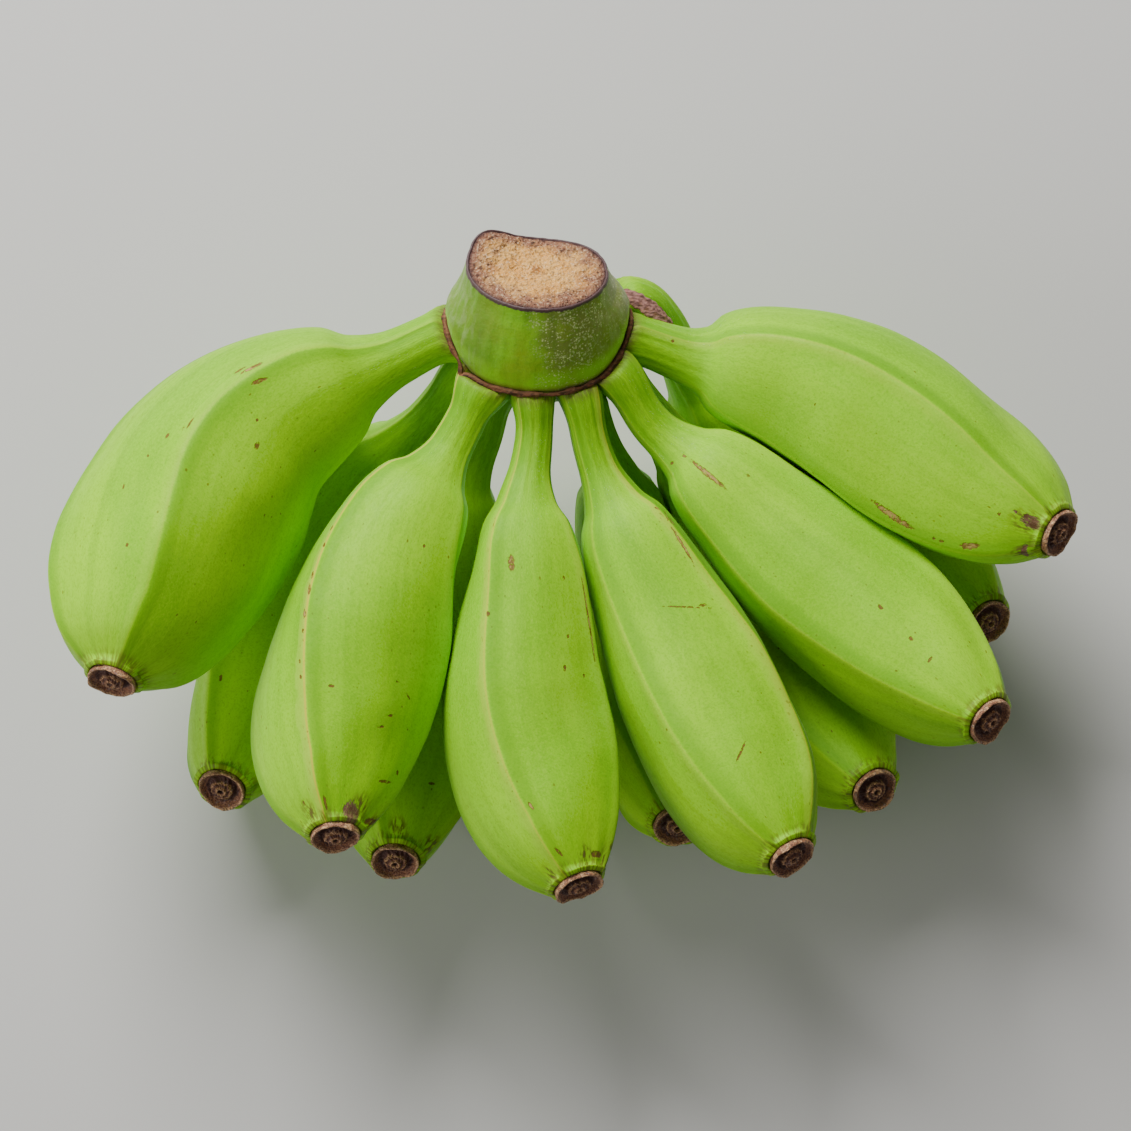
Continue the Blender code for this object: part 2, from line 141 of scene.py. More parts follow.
# The flower end's turned profile: a raised nub, a dark valley, a wall and a curled lip, then its back
CUP_PROFILE = (
    (0.0, 1.9), (0.35, 1.95), (0.65, 2.5), (1.05, 3.0), (1.45, 2.95), (1.85, 2.45), (2.4, 2.25), (2.95, 2.3),
    (3.3, 1.7), (3.75, 0.75), (4.3, 0.4), (4.8, 0.75), (5.3, 0.85), (5.75, 1.3), (6.15, 1.95), (6.55, 2.4),
    (6.9, 2.4), (7.05, 2.0), (6.95, 1.0), (6.6, 0.1), (6.2, -0.3), (0.0, -0.3),
)
CUP_RADIUS = 7.05
CUP_BACK_FROM = 17.5
CUP_RINGS = 90
NUB_GAP = 0.35

# The crown, in its own frame: Z along the cut peduncle, -Y towards the upper row of fingers.
# Each level is a height, a half width and a half depth; the scar sits under the lip at zero
CROWN_AT = (-8.0, 66.0, 0.0)
CROWN_TILT_DEG = -42.0
CROWN_LEVELS = (
    (-19.0, 10.0, 7.0), (-16.0, 15.5, 11.0), (-11.5, 19.5, 14.2), (-6.0, 22.0, 16.5), (-1.9, 25.7, 20.6),
    (1.3, 26.4, 21.3), (5.0, 26.4, 21.4), (10.0, 25.7, 20.9), (15.0, 24.3, 19.9), (20.0, 22.5, 18.7),
    (24.0, 21.0, 17.5), (27.0, 20.2, 16.9),
)
BACK_DENT = 0.22
SCAR_RISE = 10.0
SCAR_RISE_TO = 6.0
LIFT_FROM_TO = (-19.0, -6.0, 0.0, 20.0)
CUT_HEIGHT = 27.0
CUT_SLOPE = -0.07
CUT_LIP = 4.5
CUT_LIP_AT = (-15.0, 9.0)
CUT_LIP_WIDTH = 8.0
CUT_LIP_FROM = 15.0
CROWN_RINGS = 84

# The skin's rim round the cut: distance in from the skin, and height over the cut
CUT_RIM = ((0.1, 0.25), (0.3, 0.42), (0.6, 0.42), (0.85, 0.15), (1.0, -0.4), (1.4, -1.2), (3.0, -5.0))
PITH_INSET = 0.9
PITH_HEIGHT = 0.35
PITH_DEPTH = 4.0
PITH_SIDES = 160
PITH_RINGS = 60
PITH_WAVES = 60
PITH_ROUGH = 0.22

SCAR_AT = (26.8, 21.6)
SCAR_HEIGHT = -1.5
SCAR_RADIUS = 0.78
SCAR_RINGS = 480
SCAR_SIDES = 20

# The scar's kink: its angle round the crown, its width in radians and its drop
KINK_DEG = 219.0
KINK_WIDTH = 0.05
KINK_DROP = 1.9
KINK_REACH = 0.035

# Necks stay this far under the scar. Past the next distance out from it they may rise by the share
# that follows, and they bend down over the last one
UNDER_SCAR = 0.7
UNDER_SCAR_TO = 0.6
UNDER_SCAR_RISE = 0.9
UNDER_SCAR_SOFT = 0.5
ROOT_FLARE = 1.22
ROOT_WIDE = 8.0

# The dried strip of bract between the outer necks: points, half width and half thickness
BRACT_LINE = (
    (14.0, 79.0, 1.0), (18.5, 77.8, 2.6), (23.5, 75.0, 2.0), (27.5, 72.2, 0.4), (31.0, 70.0, -2.0),
)
BRACT_SIZE = (2.6, 0.8)
BRACT_RINGS = 90
BRACT_SIDES = 36

# What one wave along the strip takes, in radians
BRACT_TURN = 6.28

# Seeds of the random draws. Each finger and flower end adds its own place in the sorted names
FINGER_SEED = 11
CUP_SEED = 71
CROWN_SEED = 5
PITH_SEED = 8
BRACT_SEED = 17
SCAR_SEED = 3

# Each finger's and each flower end's pattern is shifted by this many mm from the one before
SKIN_SHIFT = 100.0
CUP_SHIFT = 40.0

# The lights: where each stands and the width of its disc, in metres
KEY_LIGHT = ((-0.5, 1.15, 1.2), 1.0)
FILL_LIGHT = ((-1.25, -0.35, 0.8), 0.8)

# The camera: over the hand's own Z, with this much of the hand across the picture
CAMERA_DISTANCE = 1.0
VIEW_WIDTH = 0.328
SENSOR_WIDTH = 36.0


def tone(red, green, blue):
    """The linear colour of 0-255 values as a screen shows them."""
    share = np.array((red, green, blue)) / 255
    linear = np.where(share <= 0.04045, share / 12.92, ((share + 0.055) / 1.055) ** 2.4)
    return tuple(float(value) for value in linear)


class FingerSettings(PropertyGroup):
    """Sizes and greens of the fingers."""

    stations: IntProperty(name="Stations", description="Rings of points along a finger", default=128)
    face_points: IntProperty(name="Points a face", description="Points across each face", default=26)
    ridge_softness: FloatProperty(
        name="Ridge softness", description="Rounding of a ridge, as a share of half a face", default=0.06)
    keel_share: FloatProperty(
        name="Keel share", description="How much of a face's sag falls close to its ridges", default=0.26,
        subtype="FACTOR")
    lump_height: FloatProperty(
        name="Lump height", description="Height of the skin's slow lumps", default=0.00035, unit="LENGTH")
    rib_height: FloatProperty(
        name="Neck ribs", description="Height of the fine ribs along a neck", default=0.00008, unit="LENGTH")
    pucker_height: FloatProperty(
        name="Tip puckers", description="Height of the puckers at a flower end", default=0.00022,
        unit="LENGTH")
    press_gap: FloatProperty(
        name="Press gap", description="Gap left between pressed neighbours", default=0.00025, unit="LENGTH")
    light_green: FloatVectorProperty(
        name="Light green", description="Skin on full faces", subtype="COLOR", default=tone(165, 230, 4))
    mid_green: FloatVectorProperty(
        name="Mid green", description="Skin of slow patches", subtype="COLOR", default=tone(144, 212, 3))
    # Deep green is the skin's own on necks and in patches, and is also laid beside the ridges as painted
    # shade
    deep_green: FloatVectorProperty(
        name="Deep green", description="Bands beside the ridges and on necks", subtype="COLOR",
        default=tone(100, 166, 2))
    bloom: FloatVectorProperty(
        name="Bloom", description="Pale wax on the skin", subtype="COLOR", default=tone(186, 230, 64))
    ridge_tan: FloatVectorProperty(
        name="Ridge tan", description="Worn skin along a ridge", subtype="COLOR", default=tone(214, 206, 84))
    mark_brown: FloatVectorProperty(
        name="Mark brown", description="Healed scratches", subtype="COLOR", default=tone(108, 72, 34))


class FlowerEndSettings(PropertyGroup):
    """Sizes and browns of the dried flower ends."""

    sides: IntProperty(name="Sides", description="Points round a flower end", default=112)
    lip_wave: FloatProperty(
        name="Lip wave", description="How far the curled lip wanders", default=0.0007, unit="LENGTH")
    dark: FloatVectorProperty(
        name="Dark rings", description="Wrinkles inside the cup", subtype="COLOR", default=tone(96, 62, 52))
    brown: FloatVectorProperty(
        name="Brown", description="Dried flesh", subtype="COLOR", default=tone(170, 116, 82))
    tan: FloatVectorProperty(
        name="Tan lips", description="Curled edges", subtype="COLOR", default=tone(234, 184, 132))


class CrownSettings(PropertyGroup):
    """Sizes and colours of the crown, its cut and its bract scar."""

    sides: IntProperty(name="Sides", description="Points round the crown", default=192)
    groove_depth: FloatProperty(
        name="Groove depth", description="Grooves that run up the crown", default=0.00012, unit="LENGTH")
    green: FloatVectorProperty(
        name="Crown green", description="Skin of the crown", subtype="COLOR", default=tone(150, 182, 6))
    rim: FloatVectorProperty(
        name="Rim", description="Dried edge of the cut", subtype="COLOR", default=tone(84, 58, 58))
    pith: FloatVectorProperty(
        name="Pith", description="Cut fibre", subtype="COLOR", default=tone(252, 192, 104))
    scar: FloatVectorProperty(
        name="Scar", description="Dried bract scar", subtype="COLOR", default=tone(116, 68, 44))
    bract: FloatVectorProperty(
        name="Bract", description="Dried strip of bract", subtype="COLOR", default=tone(172, 124, 112))


class StageSettings(PropertyGroup):
    """The floor and lights."""

    floor_size: FloatProperty(name="Floor size", description="Side of the floor", default=8.0, unit="LENGTH")
    floor: FloatVectorProperty(
        name="Floor", description="Colour of the floor", subtype="COLOR", default=tone(214, 212, 208))
    key_power: FloatProperty(name="Key power", description="Large soft light", default=42.0, unit="POWER")
    fill_power: FloatProperty(
        name="Fill power", description="Light from the near left", default=6.0, unit="POWER")
    sky: FloatProperty(name="Sky", description="Strength of the light all round", default=0.15)


class PlantainSettings(PropertyGroup):
    """All that a user would change."""

    fingers: PointerProperty(type=FingerSettings)
    flower_ends: PointerProperty(type=FlowerEndSettings)
    crown: PointerProperty(type=CrownSettings)
    stage: PointerProperty(type=StageSettings)


def tilted(points, degrees):
    """Points turned about X by this many degrees."""
    turn = math.radians(degrees)
    x, y, z = np.moveaxis(np.asarray(points, float), -1, 0)
    sideways = y * math.cos(turn) - z * math.sin(turn)
    return np.stack([x, sideways, y * math.sin(turn) + z * math.cos(turn)], -1)


def to_world(points):
    """Points of the hand's frame, in mm, where the hand lies, in metres."""
    return (tilted(points, LEAN_DEG) + HAND_AT) * MM


def crown_to_hand(points):
    """Points of the crown's frame in the hand's frame, both in mm."""
    return tilted(points, CROWN_TILT_DEG) + CROWN_AT


def hand_to_crown(points):
    """Points of the hand's frame in the crown's frame, both in mm."""
    return tilted(np.asarray(points, float) - CROWN_AT, -CROWN_TILT_DEG)


def angle_from(angle, degrees):
    """How far an angle is from this many degrees, from minus half a turn to half a turn."""
    return np.mod(angle - math.radians(degrees) + np.pi, 2 * np.pi) - np.pi


def waves(draw, angle, counts, lead=0.0):
    """The sum of one cosine for each count of waves round, each with its own random phase."""
    return sum(np.cos(k * angle + draw.uniform(0, 6) + lead) for k in counts)


def monotone(keys, at):
    """Values at `at` of the smooth curve through keys that never overshoots them."""
    x, y = np.array(keys, float).T
    step, rise = np.diff(x), np.diff(y) / np.diff(x)
    slope = np.zeros(len(x))
    same = rise[:-1] * rise[1:] > 0
    near, far = 2 * step[1:] + step[:-1], step[1:] + 2 * step[:-1]
    mean = (near + far) / (near / np.where(same, rise[:-1], 1) + far / np.where(same, rise[1:], 1))
    slope[1:-1] = np.where(same, mean, 0)
    slope[0], slope[-1] = rise[0], rise[-1]
    k = np.clip(np.searchsorted(x, at, side="right") - 1, 0, len(x) - 2)
    t = (at - x[k]) / step[k]
    blend = t * t * (3 - 2 * t)
    bend = step[k] * (t * (1 - t) ** 2 * slope[k] - t * t * (1 - t) * slope[k + 1])
    return y[k] * (1 - blend) + y[k + 1] * blend + bend


def smooth_line(points, count):
    """count points evenly along the natural cubic spline through points, unit tangents and length."""
    p = np.array(points, float)
    knots = np.concatenate([[0], np.cumsum(np.linalg.norm(np.diff(p, axis=0), axis=1))])
    step = np.diff(knots)
    n = len(p)
    rows, right = np.eye(n), np.zeros((n, 3))
    for i in range(1, n - 1):
        rows[i, i - 1 : i + 2] = step[i - 1], 2 * (step[i - 1] + step[i]), step[i]
        right[i] = 6 * ((p[i + 1] - p[i]) / step[i] - (p[i] - p[i - 1]) / step[i - 1])
    bend = np.linalg.solve(rows, right)
    at = np.linspace(0, knots[-1], SPLINE_POINTS)
    k = np.clip(np.searchsorted(knots, at, side="right") - 1, 0, n - 2)
    a, b, h = (knots[k + 1] - at)[:, None], (at - knots[k])[:, None], step[k][:, None]
    fine = (bend[k] * a**3 + bend[k + 1] * b**3) / (6 * h)
    fine += (p[k] / h - bend[k] * h / 6) * a + (p[k + 1] / h - bend[k + 1] * h / 6) * b
    run = np.concatenate([[0], np.cumsum(np.linalg.norm(np.diff(fine, axis=0), axis=1))])
    even = np.linspace(0, run[-1], count)
    line = np.stack([np.interp(even, run, fine[:, i]) for i in range(3)], 1)
    tangent = np.gradient(line, axis=0)
    return line, tangent / np.linalg.norm(tangent, axis=1)[:, None], run[-1]


def fade(value, start, end):
    """0 at start and 1 at end, easing in and out."""
    t = np.clip((value - start) / (end - start), 0, 1)
    return t * t * (3 - 2 * t)


def across_face(angle, ridges):
    """The face that an angle falls on, the share of half a face to its ridge, half the face and its side."""
    angle = np.mod(angle - ridges[0], 2 * np.pi) + ridges[0]
    k = np.clip(np.searchsorted(ridges, angle, side="right") - 1, 0, len(ridges) - 2)
    half = (ridges[k + 1] - ridges[k]) / 2
    across = (angle - ridges[k]) / half - 1
    return k, 1 - np.abs(across), half, np.where(across < 0, 1.0, -1.0)


def section(angle, sag, ridges):
    """Radius share at an angle round the finger: soft keels, with faces that sag between them."""
    settings = bpy.context.scene.plantains.fingers
    off = across_face(angle, ridges)[1]
    soft = settings.ridge_softness
    rounded = (np.hypot(off, soft) - soft) / (math.hypot(1, soft) - soft)
    keel = 1 - np.exp(-((off / KEEL_WIDTH) ** 2))
    face = 2 * rounded - rounded**2
    return 1 - sag * (settings.keel_share * keel + (1 - settings.keel_share) * face)


def section_angles(ridges, face_points):
    """Angles round a finger from its first ridge, closest together at the ridges."""
    steps = np.arange(face_points) / face_points
    steps = steps - EDGE_CROWDING * np.sin(2 * np.pi * steps)
    return np.concatenate([a + (b - a) * steps for a, b in zip(ridges, ridges[1:])])


class Finger:
    """A finger as a line with a radius and a section at each of its stations."""

    def __init__(self, spec, stations):
        self.line, self.along, self.length = smooth_line(spec["line"], stations)
        up = np.array((0.0, 0.0, 1.0)) - self.along[:, 2:] * self.along
        self.front = up / np.linalg.norm(up, axis=1)[:, None]
        self.side = np.cross(self.front, self.along)
        self.share = np.linspace(0, 1, stations)
        self.turn = np.radians(spec["turn"] + np.interp(self.share, TWIST_AT, spec.get("twist", (0, 0))))
        ridges = spec.get("ridges", RIDGE_DEG)
        self.ridges = np.radians(ridges + (ridges[0] + 360.0,))
        self.belly = spec["belly"]
        neck_end = self.neck_end = spec["shoulder"]
        root, neck = spec["root"], spec["neck"]
        flared = root * (ROOT_FLARE if root < ROOT_WIDE else 1.0)
        neck = ((0.0, 0.6 * root), (0.3, flared), (0.62, neck), (0.92, 1.08 * neck))
        keys = [(u * neck_end, r) for u, r in neck]
        forward = [(u * (1 - spec["full"] * (1 - u)), k * spec["belly"]) for u, k in OUTLINE]
        keys += [(neck_end + u * (1 - neck_end), r) for u, r in forward]
        keys += [(1.0, FLOWER_END_RADIUS)]
        self.radius = monotone(keys, self.share)
        self.sag = np.interp(self.share, (0.0, neck_end, 0.4, 1.0), (NECK_SAG, NECK_SAG, FACE_SAG, FACE_SAG))

    def rings(self, angles, relief=0.0):
        """Surface points, one ring for each station, with relief in mm over the plain section."""
        r = self.radius[:, None] * section(angles[None, :], self.sag[:, None], self.ridges) + relief
        turned = (angles[None, :] + self.turn[:, None])[..., None]
        out = np.cos(turned) * self.front[:, None, :] + np.sin(turned) * self.side[:, None, :]
        return self.line[:, None, :] + r[..., None] * out

    def depth_outside(self, points):
        """How far each point lies outside this finger's skin, negative inside."""
        away = points[:, None, :] - self.line[None, :, :]
        lengthwise = np.einsum("pkj,kj->pk", away, self.along)
        x = np.einsum("pkj,kj->pk", away, self.front)
        y = np.einsum("pkj,kj->pk", away, self.side)
        skin = self.radius[None, :] * section(np.arctan2(y, x) - self.turn, self.sag[None, :], self.ridges)
        return (np.hypot(np.hypot(x, y), lengthwise) - skin).min(1)

    def near(self, other):
        """Whether another finger can come close enough to press on this one."""
        gap = np.linalg.norm(self.line[:, None, :] - other.line[None, :, :], axis=2)
        return (gap < self.radius[:, None] + other.radius[None, :] + PRESS_REACH).any()


def skin_relief(finger, angles, draw):
    """Slow lumps on the body, fine ribs along the neck and puckers at the tip, in mm."""
    settings = bpy.context.scene.plantains.fingers
    u, around = finger.share[:, None], angles[None, :]
    body = fade(u, finger.neck_end, finger.neck_end + 0.15) * (1 - 0.6 * fade(u, 0.9, 1.0))
    lumps = 0.0
    for turns, runs in LUMP_WAVES:
        phase, lean = draw.uniform(0, 2 * np.pi, 2)
        lumps = lumps + np.cos(turns * around + 2 * np.pi * runs * u + phase) * np.cos(lean + 3 * u)
    lumps = lumps * settings.lump_height / MM / 1.6
    wander = 0.5 * np.sin(7 * u + draw.uniform(0, 6)) + 0.3 * np.sin(17 * u + draw.uniform(0, 6))
    ribs = np.cos(13 * around + wander) + 0.6 * np.cos(22 * around - 1.7 * wander + 1.3)
    ribs = ribs * settings.rib_height / MM * (1 - fade(u, finger.neck_end * 0.9, finger.neck_end + 0.12))
    folds = np.abs(np.sin(5.5 * around + wander)) + 0.5 * np.cos(13 * around + 2 * wander)
    puckers = -folds * settings.pucker_height / MM * fade(u, 0.93, 0.995)
    return lumps * body + ribs + puckers


def pressed(rings, own, others, gap):
    """The rings with the skin drawn in where a neighbour presses on it, each giving way alike."""
    centre = np.repeat(own.line[:, None, :], rings.shape[1], 1).reshape(-1, 3)
    skin = rings.reshape(-1, 3)
    reach = np.linalg.norm(skin - centre, axis=1)

    def clear(which, share):
        at = centre[which] + share[:, None] * (skin[which] - centre[which])
        nearest = np.min([other.depth_outside(at) for other in others], axis=0)
        return nearest - (share - 1) * reach[which] >= gap

    share = np.ones(len(skin))
    touched = np.flatnonzero(~clear(np.arange(len(skin)), share))
    low, high = np.full(len(touched), PRESS_LEAST), np.ones(len(touched))
    for _ in range(PRESS_STEPS):
        middle = (low + high) / 2
        fits = clear(touched, middle)
        low, high = np.where(fits, middle, low), np.where(fits, high, middle)
    share[touched] = low
    return (centre + share[:, None] * (skin - centre)).reshape(rings.shape)


def skinned(name, points, faces):
    """A smooth mesh of world points, with its faces turned outwards."""
    mesh = bpy.data.meshes.new(name)
    mesh.from_pydata(points.tolist(), [], faces)
    sheet = bmesh.new()
    sheet.from_mesh(mesh)
    bmesh.ops.recalc_face_normals(sheet, faces=sheet.faces)
    sheet.to_mesh(mesh)
    sheet.free()
    mesh.shade_smooth()
    return mesh


def closed_mesh(name, rings):
    """A mesh through rings of world points, closed by a point in the middle of each end ring."""
    count, around = rings.shape[:2]
    index = np.arange(count * around).reshape(count, around)
    ahead = np.roll(index, -1, axis=1)
    quads = np.stack([index[:-1], ahead[:-1], ahead[1:], index[1:]], -1).reshape(-1, 4)
    start, end = count * around, count * around + 1
    first = np.stack([np.full(around, start), ahead[0], index[0]], -1)
    last = np.stack([np.full(around, end), index[-1], ahead[-1]], -1)
    points = np.vstack([rings.reshape(-1, 3), rings[0].mean(0), rings[-1].mean(0)])
    return skinned(name, points, quads.tolist() + first.tolist() + last.tolist())


def spread(mesh, values):
    """Values of a grid of points as one list, with those of the end points where the mesh has them."""
    flat = values.reshape(-1, *values.shape[2:])
    if len(flat) == len(mesh.vertices):
        return flat
    return np.concatenate([flat, values[:1].mean(1), values[-1:].mean(1)])


def add_number(mesh, name, values):
    made = mesh.attributes.new(name, "FLOAT", "POINT")
    made.data.foreach_set("value", spread(mesh, np.asarray(values, np.float32)))


def add_vector(mesh, name, values):
    made = mesh.attributes.new(name, "FLOAT_VECTOR", "POINT")
    made.data.foreach_set("vector", spread(mesh, np.asarray(values, np.float32)).ravel())


def add_piece(name, mesh, finish, slot, *nodes):
    """A piece of the hand that rides on its body and stands for the named solids."""
    mesh.materials.append(finish)
    piece = bpy.data.objects.new(name, mesh)
    bpy.context.scene.collection.objects.link(piece)
    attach(piece, BODY)
    if nodes:
        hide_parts(*nodes)
    return piece


class Finish:
    """A material with short calls for its nodes. Values may be numbers, colours or other outputs."""

    def __init__(self, name):
        self.made = bpy.data.materials.new(name)
        self.made.use_nodes = True
        self.tree = self.made.node_tree
        self.shader = self.tree.nodes["Principled BSDF"]
        self.colour = None

    def put(self, socket, value):
        if isinstance(value, bpy.types.NodeSocket):
            self.tree.links.new(value, socket)
        elif isinstance(value, (int, float)):
            socket.default_value = value
        else:
            value = tuple(value)
            socket.default_value = value + (1.0,) if socket.type == "RGBA" and len(value) == 3 else value

    def node(self, kind, **inputs):
        made = self.tree.nodes.new("ShaderNode" + kind)
        for name, value in inputs.items():
            self.put(made.inputs[name.replace("_", " ")], value)
        return made

    def attribute(self, name, output):
        node = self.node("Attribute")
        node.attribute_name = name
        return node.outputs[output]

    def number(self, name):
        return self.attribute(name, "Fac")

    def vector(self, name):
        return self.attribute(name, "Vector")

    def uv(self, name):
        node = self.node("UVMap")
        node.uv_map = name
        return node.outputs["UV"]

    def vector_math(self, operation, output, *values):
        node = self.node("VectorMath")
        node.operation = operation
        for socket, value in zip(node.inputs, values):
            self.put(socket, value)
        return node.outputs[output]

    def scaled(self, vector, *factors):
        return self.vector_math("MULTIPLY", "Vector", vector, factors)

    def drawn(self, vector, share):
        """A place whose last part is scaled, which draws the pattern on it out lengthwise."""
        return self.scaled(vector, 1, 1, share)

    def added(self, first, second):
        return self.vector_math("ADD", "Vector", first, second)

    def size(self, vector):
        return self.vector_math("LENGTH", "Value", vector)

    def part(self, vector, axis):
        return self.node("SeparateXYZ", Vector=vector).outputs[axis]

    def product(self, first, *others):
        for other in others:
            first = self.math("MULTIPLY", first, other)
        return first

    def math(self, operation, first, second=0.0):
        node = self.node("Math")
        node.operation = operation
        self.put(node.inputs[0], first)
        self.put(node.inputs[1], second)
        return node.outputs["Value"]

    def noise(self, vector, scale, detail=2.0, roughness=0.5):
        node = self.node("TexNoise", Vector=vector, Scale=scale, Detail=detail, Roughness=roughness)
        return node.outputs["Fac"]

    def cells(self, vector, scale):
        node = self.node("TexVoronoi", Vector=vector, Scale=scale)
        return node.outputs["Distance"], node.outputs["Color"]

    def ease(self, value, start, end, low=0.0, high=1.0):
        node = self.node("MapRange")
        node.interpolation_type = "SMOOTHSTEP"
        names = ("Value", "From Min", "From Max", "To Min", "To Max")
        for name, number in zip(names, (value, start, end, low, high)):
            self.put(node.inputs[name], number)
        return node.outputs["Result"]

    def mix(self, share, first, second):
        node = self.node("Mix")
        node.data_type = "RGBA"
        self.put(node.inputs[0], share)
        self.put(node.inputs[6], first)
        self.put(node.inputs[7], second)
        return node.outputs[2]

    def bands(self, value, *stops):
        node = self.node("ValToRGB")
        self.put(node.inputs["Fac"], value)
        ramp = node.color_ramp
        while len(ramp.elements) < len(stops):
            ramp.elements.new(0.5)
        for element, (at, colour) in zip(ramp.elements, stops):
            element.position = at
            element.color = tuple(colour) + (1.0,)
        return node.outputs["Color"]

    def bump(self, height, distance, normal=None):
        node = self.node("Bump", Height=height, Distance=distance)
        if normal is not None:
            self.put(node.inputs["Normal"], normal)
        return node.outputs["Normal"]

    def paint(self, colour, *shares):
        """Lays a colour over what is painted so far, as far as the product of its shares."""
        self.colour = self.mix(self.product(*shares), self.colour, colour)

    def surface(self, roughness, normal=None, **constants):
        self.put(self.shader.inputs["Base Color"], self.colour)
        self.put(self.shader.inputs["Roughness"], roughness)
        if normal is not None:
            self.put(self.shader.inputs["Normal"], normal)
        for name, value in constants.items():
            self.put(self.shader.inputs[name.replace("_", " ")], value)
        return self.made


def green_skin():
    """Unripe peel: soft lengthwise bands, pale and tan ridges, a deep green band painted beside them as
    shade, and marks.
    """
    settings = bpy.context.scene.plantains.fingers
    f = Finish("green_peel")
    place = f.vector("lengthwise")
    off, near, wear = f.number("ridge_mm"), f.number("ridge_near"), f.number("ridge_wear")
    along, stain, rooted = f.number("along"), f.number("stain"), f.number("rooted")

    patches = f.noise(f.drawn(place, 0.6), 0.03, 1.5)
    bands = f.noise(f.drawn(place, 0.06), 0.14, 2.0)
    streaks = f.noise(f.drawn(place, 0.05), 0.6, 2.0)
    mottle = f.noise(f.drawn(place, 0.7), 0.5, 4.0, 0.65)
    grain = f.noise(place, 2.2, 2.0)

    f.colour = f.mix(f.ease(patches, 0.35, 0.65), settings.mid_green, settings.light_green)
    f.paint(settings.deep_green, f.ease(bands, 0.42, 0.7, 0.0, 0.26))
    f.paint(settings.bloom, f.ease(streaks, 0.5, 0.75, 0.0, 0.1))
    f.paint(settings.deep_green, f.ease(mottle, 0.45, 0.68, 0.0, 0.16))
    speckle = f.noise(place, 1.3, 3.0, 0.7)
    f.paint(settings.deep_green, f.ease(speckle, 0.5, 0.64, 0.0, 0.3))
    f.paint(settings.bloom, f.ease(speckle, 0.48, 0.36, 0.0, 0.24))
    wax = f.ease(f.noise(f.drawn(place, 0.4), 0.045, 2.0), 0.5, 0.72, 0.0, 0.14)
    f.paint(settings.bloom, wax)
    neck = f.product(f.ease(along, 0.32, 0.18), f.ease(mottle, 0.35, 0.6, 0.15, 0.45))
    f.paint(settings.deep_green, neck)

    fray = f.ease(f.noise(f.drawn(place, 0.3), 0.6, 4.0), 0.3, 0.7, -0.8, 0.8)
    low = f.math("ADD", off, fray)
    # Painted shade: a deeper green band on one side of each ridge, where the face beside the keel turns away
    # from the light
    painted_ridge_shade = f.product(near, f.ease(off, 0.1, 1.0), f.ease(off, 6.5, 2.5))
    f.paint(settings.deep_green, painted_ridge_shade, 0.5)
    strip = f.product(near, f.ease(low, -4.4, -3.2), f.ease(off, 0.5, -0.1))
    f.paint(settings.bloom, strip, f.ease(wear, 0.0, 1.0, 0.14, 0.45))
    worn = f.product(near, f.ease(low, -3.2, -1.4), f.ease(off, 0.45, 0.05), wear)
    worn = f.product(worn, f.ease(f.noise(f.drawn(place, 0.2), 0.09, 2.0), 0.36, 0.6, 0.25, 1.0))
    worn = f.product(worn, f.ease(along, 0.88, 0.76, 0.3, 1.0))
    f.paint(settings.ridge_tan, worn, 0.6)
    crest = f.product(near, f.ease(off, -0.75, -0.3), f.ease(off, 0.35, 0.05), wear)
    f.paint(tone(222, 196, 60), crest, 0.6)
    crumbs = f.ease(f.noise(f.drawn(place, 0.6), 0.8, 3.0), 0.62, 0.68)
    f.paint(settings.mark_brown, worn, crumbs, 0.9)

    distance, _ = f.cells(f.drawn(place, 0.7), 0.2)
    dot = f.product(f.ease(distance, 0.09, 0.05), f.ease(f.noise(place, 0.06, 0.0), 0.5, 0.6), 0.7)
    f.paint(settings.mark_brown, dot)
    speck_far, _ = f.cells(f.drawn(place, 0.8), 0.34)
    speck = f.product(f.ease(speck_far, 0.13, 0.07), f.ease(f.noise(place, 0.05, 1.0), 0.46, 0.6), 0.5)
    f.paint(tone(98, 104, 30), speck)
    fleck_far, _ = f.cells(f.drawn(place, 0.8), 0.9)
    fleck = f.product(f.ease(fleck_far, 0.2, 0.08), f.ease(along, 0.36, 0.24), f.ease(bands, 0.5, 0.6), 0.5)
    f.paint(tone(228, 236, 190), fleck)
    f.paint(tone(120, 100, 62), rooted, f.ease(mottle, 0.35, 0.6, 0.35, 0.9))

    wobble = f.scaled(f.node("TexNoise", Vector=place, Scale=1.1, Detail=3.0).outputs["Color"], 1.2, 1.2, 0)
    scratch = f.size(f.added(f.added(f.uv("mark"), wobble), (-0.6, -0.6, 0.0)))
    mark = f.product(f.ease(scratch, 1.05, 0.8), f.ease(f.noise(place, 1.1, 3.0), 0.3, 0.45))
    scab = f.number("scab")
    healed = f.mix(f.ease(grain, 0.4, 0.6, 0.0, 0.6), settings.mark_brown, tone(150, 104, 54))
    middle = f.product(f.ease(scratch, 0.85, 0.45), f.ease(scab, 0.2, 0.8), f.ease(mottle, 0.4, 0.52))
    healed = f.mix(f.math("MULTIPLY", middle, 0.75), healed, tone(204, 168, 104))
    purple = f.mix(f.ease(grain, 0.4, 0.6), tone(96, 56, 58), tone(150, 100, 92))
    healed = f.mix(f.ease(scab, 1.2, 1.8), healed, purple)
    f.paint(healed, mark, 0.92)
    smudge = f.product(f.ease(stain, 0.15, 0.85), f.ease(f.noise(place, 0.5, 4.0), 0.42, 0.6))
    f.paint(tone(104, 70, 48), smudge, 0.85)

    height = f.math("ADD", f.math("MULTIPLY", bands, 0.6), f.math("MULTIPLY", mottle, 0.35))
    height = f.math("ADD", height, f.math("MULTIPLY", grain, 0.12))
    height = f.math("SUBTRACT", height, f.math("MULTIPLY", mark, 0.5))
    rough = f.ease(mottle, 0.3, 0.7, 0.46, 0.58)
    return f.surface(
        rough, f.bump(height, 0.00022), Specular_IOR_Level=0.16, Sheen_Weight=0.03, Sheen_Roughness=0.3)


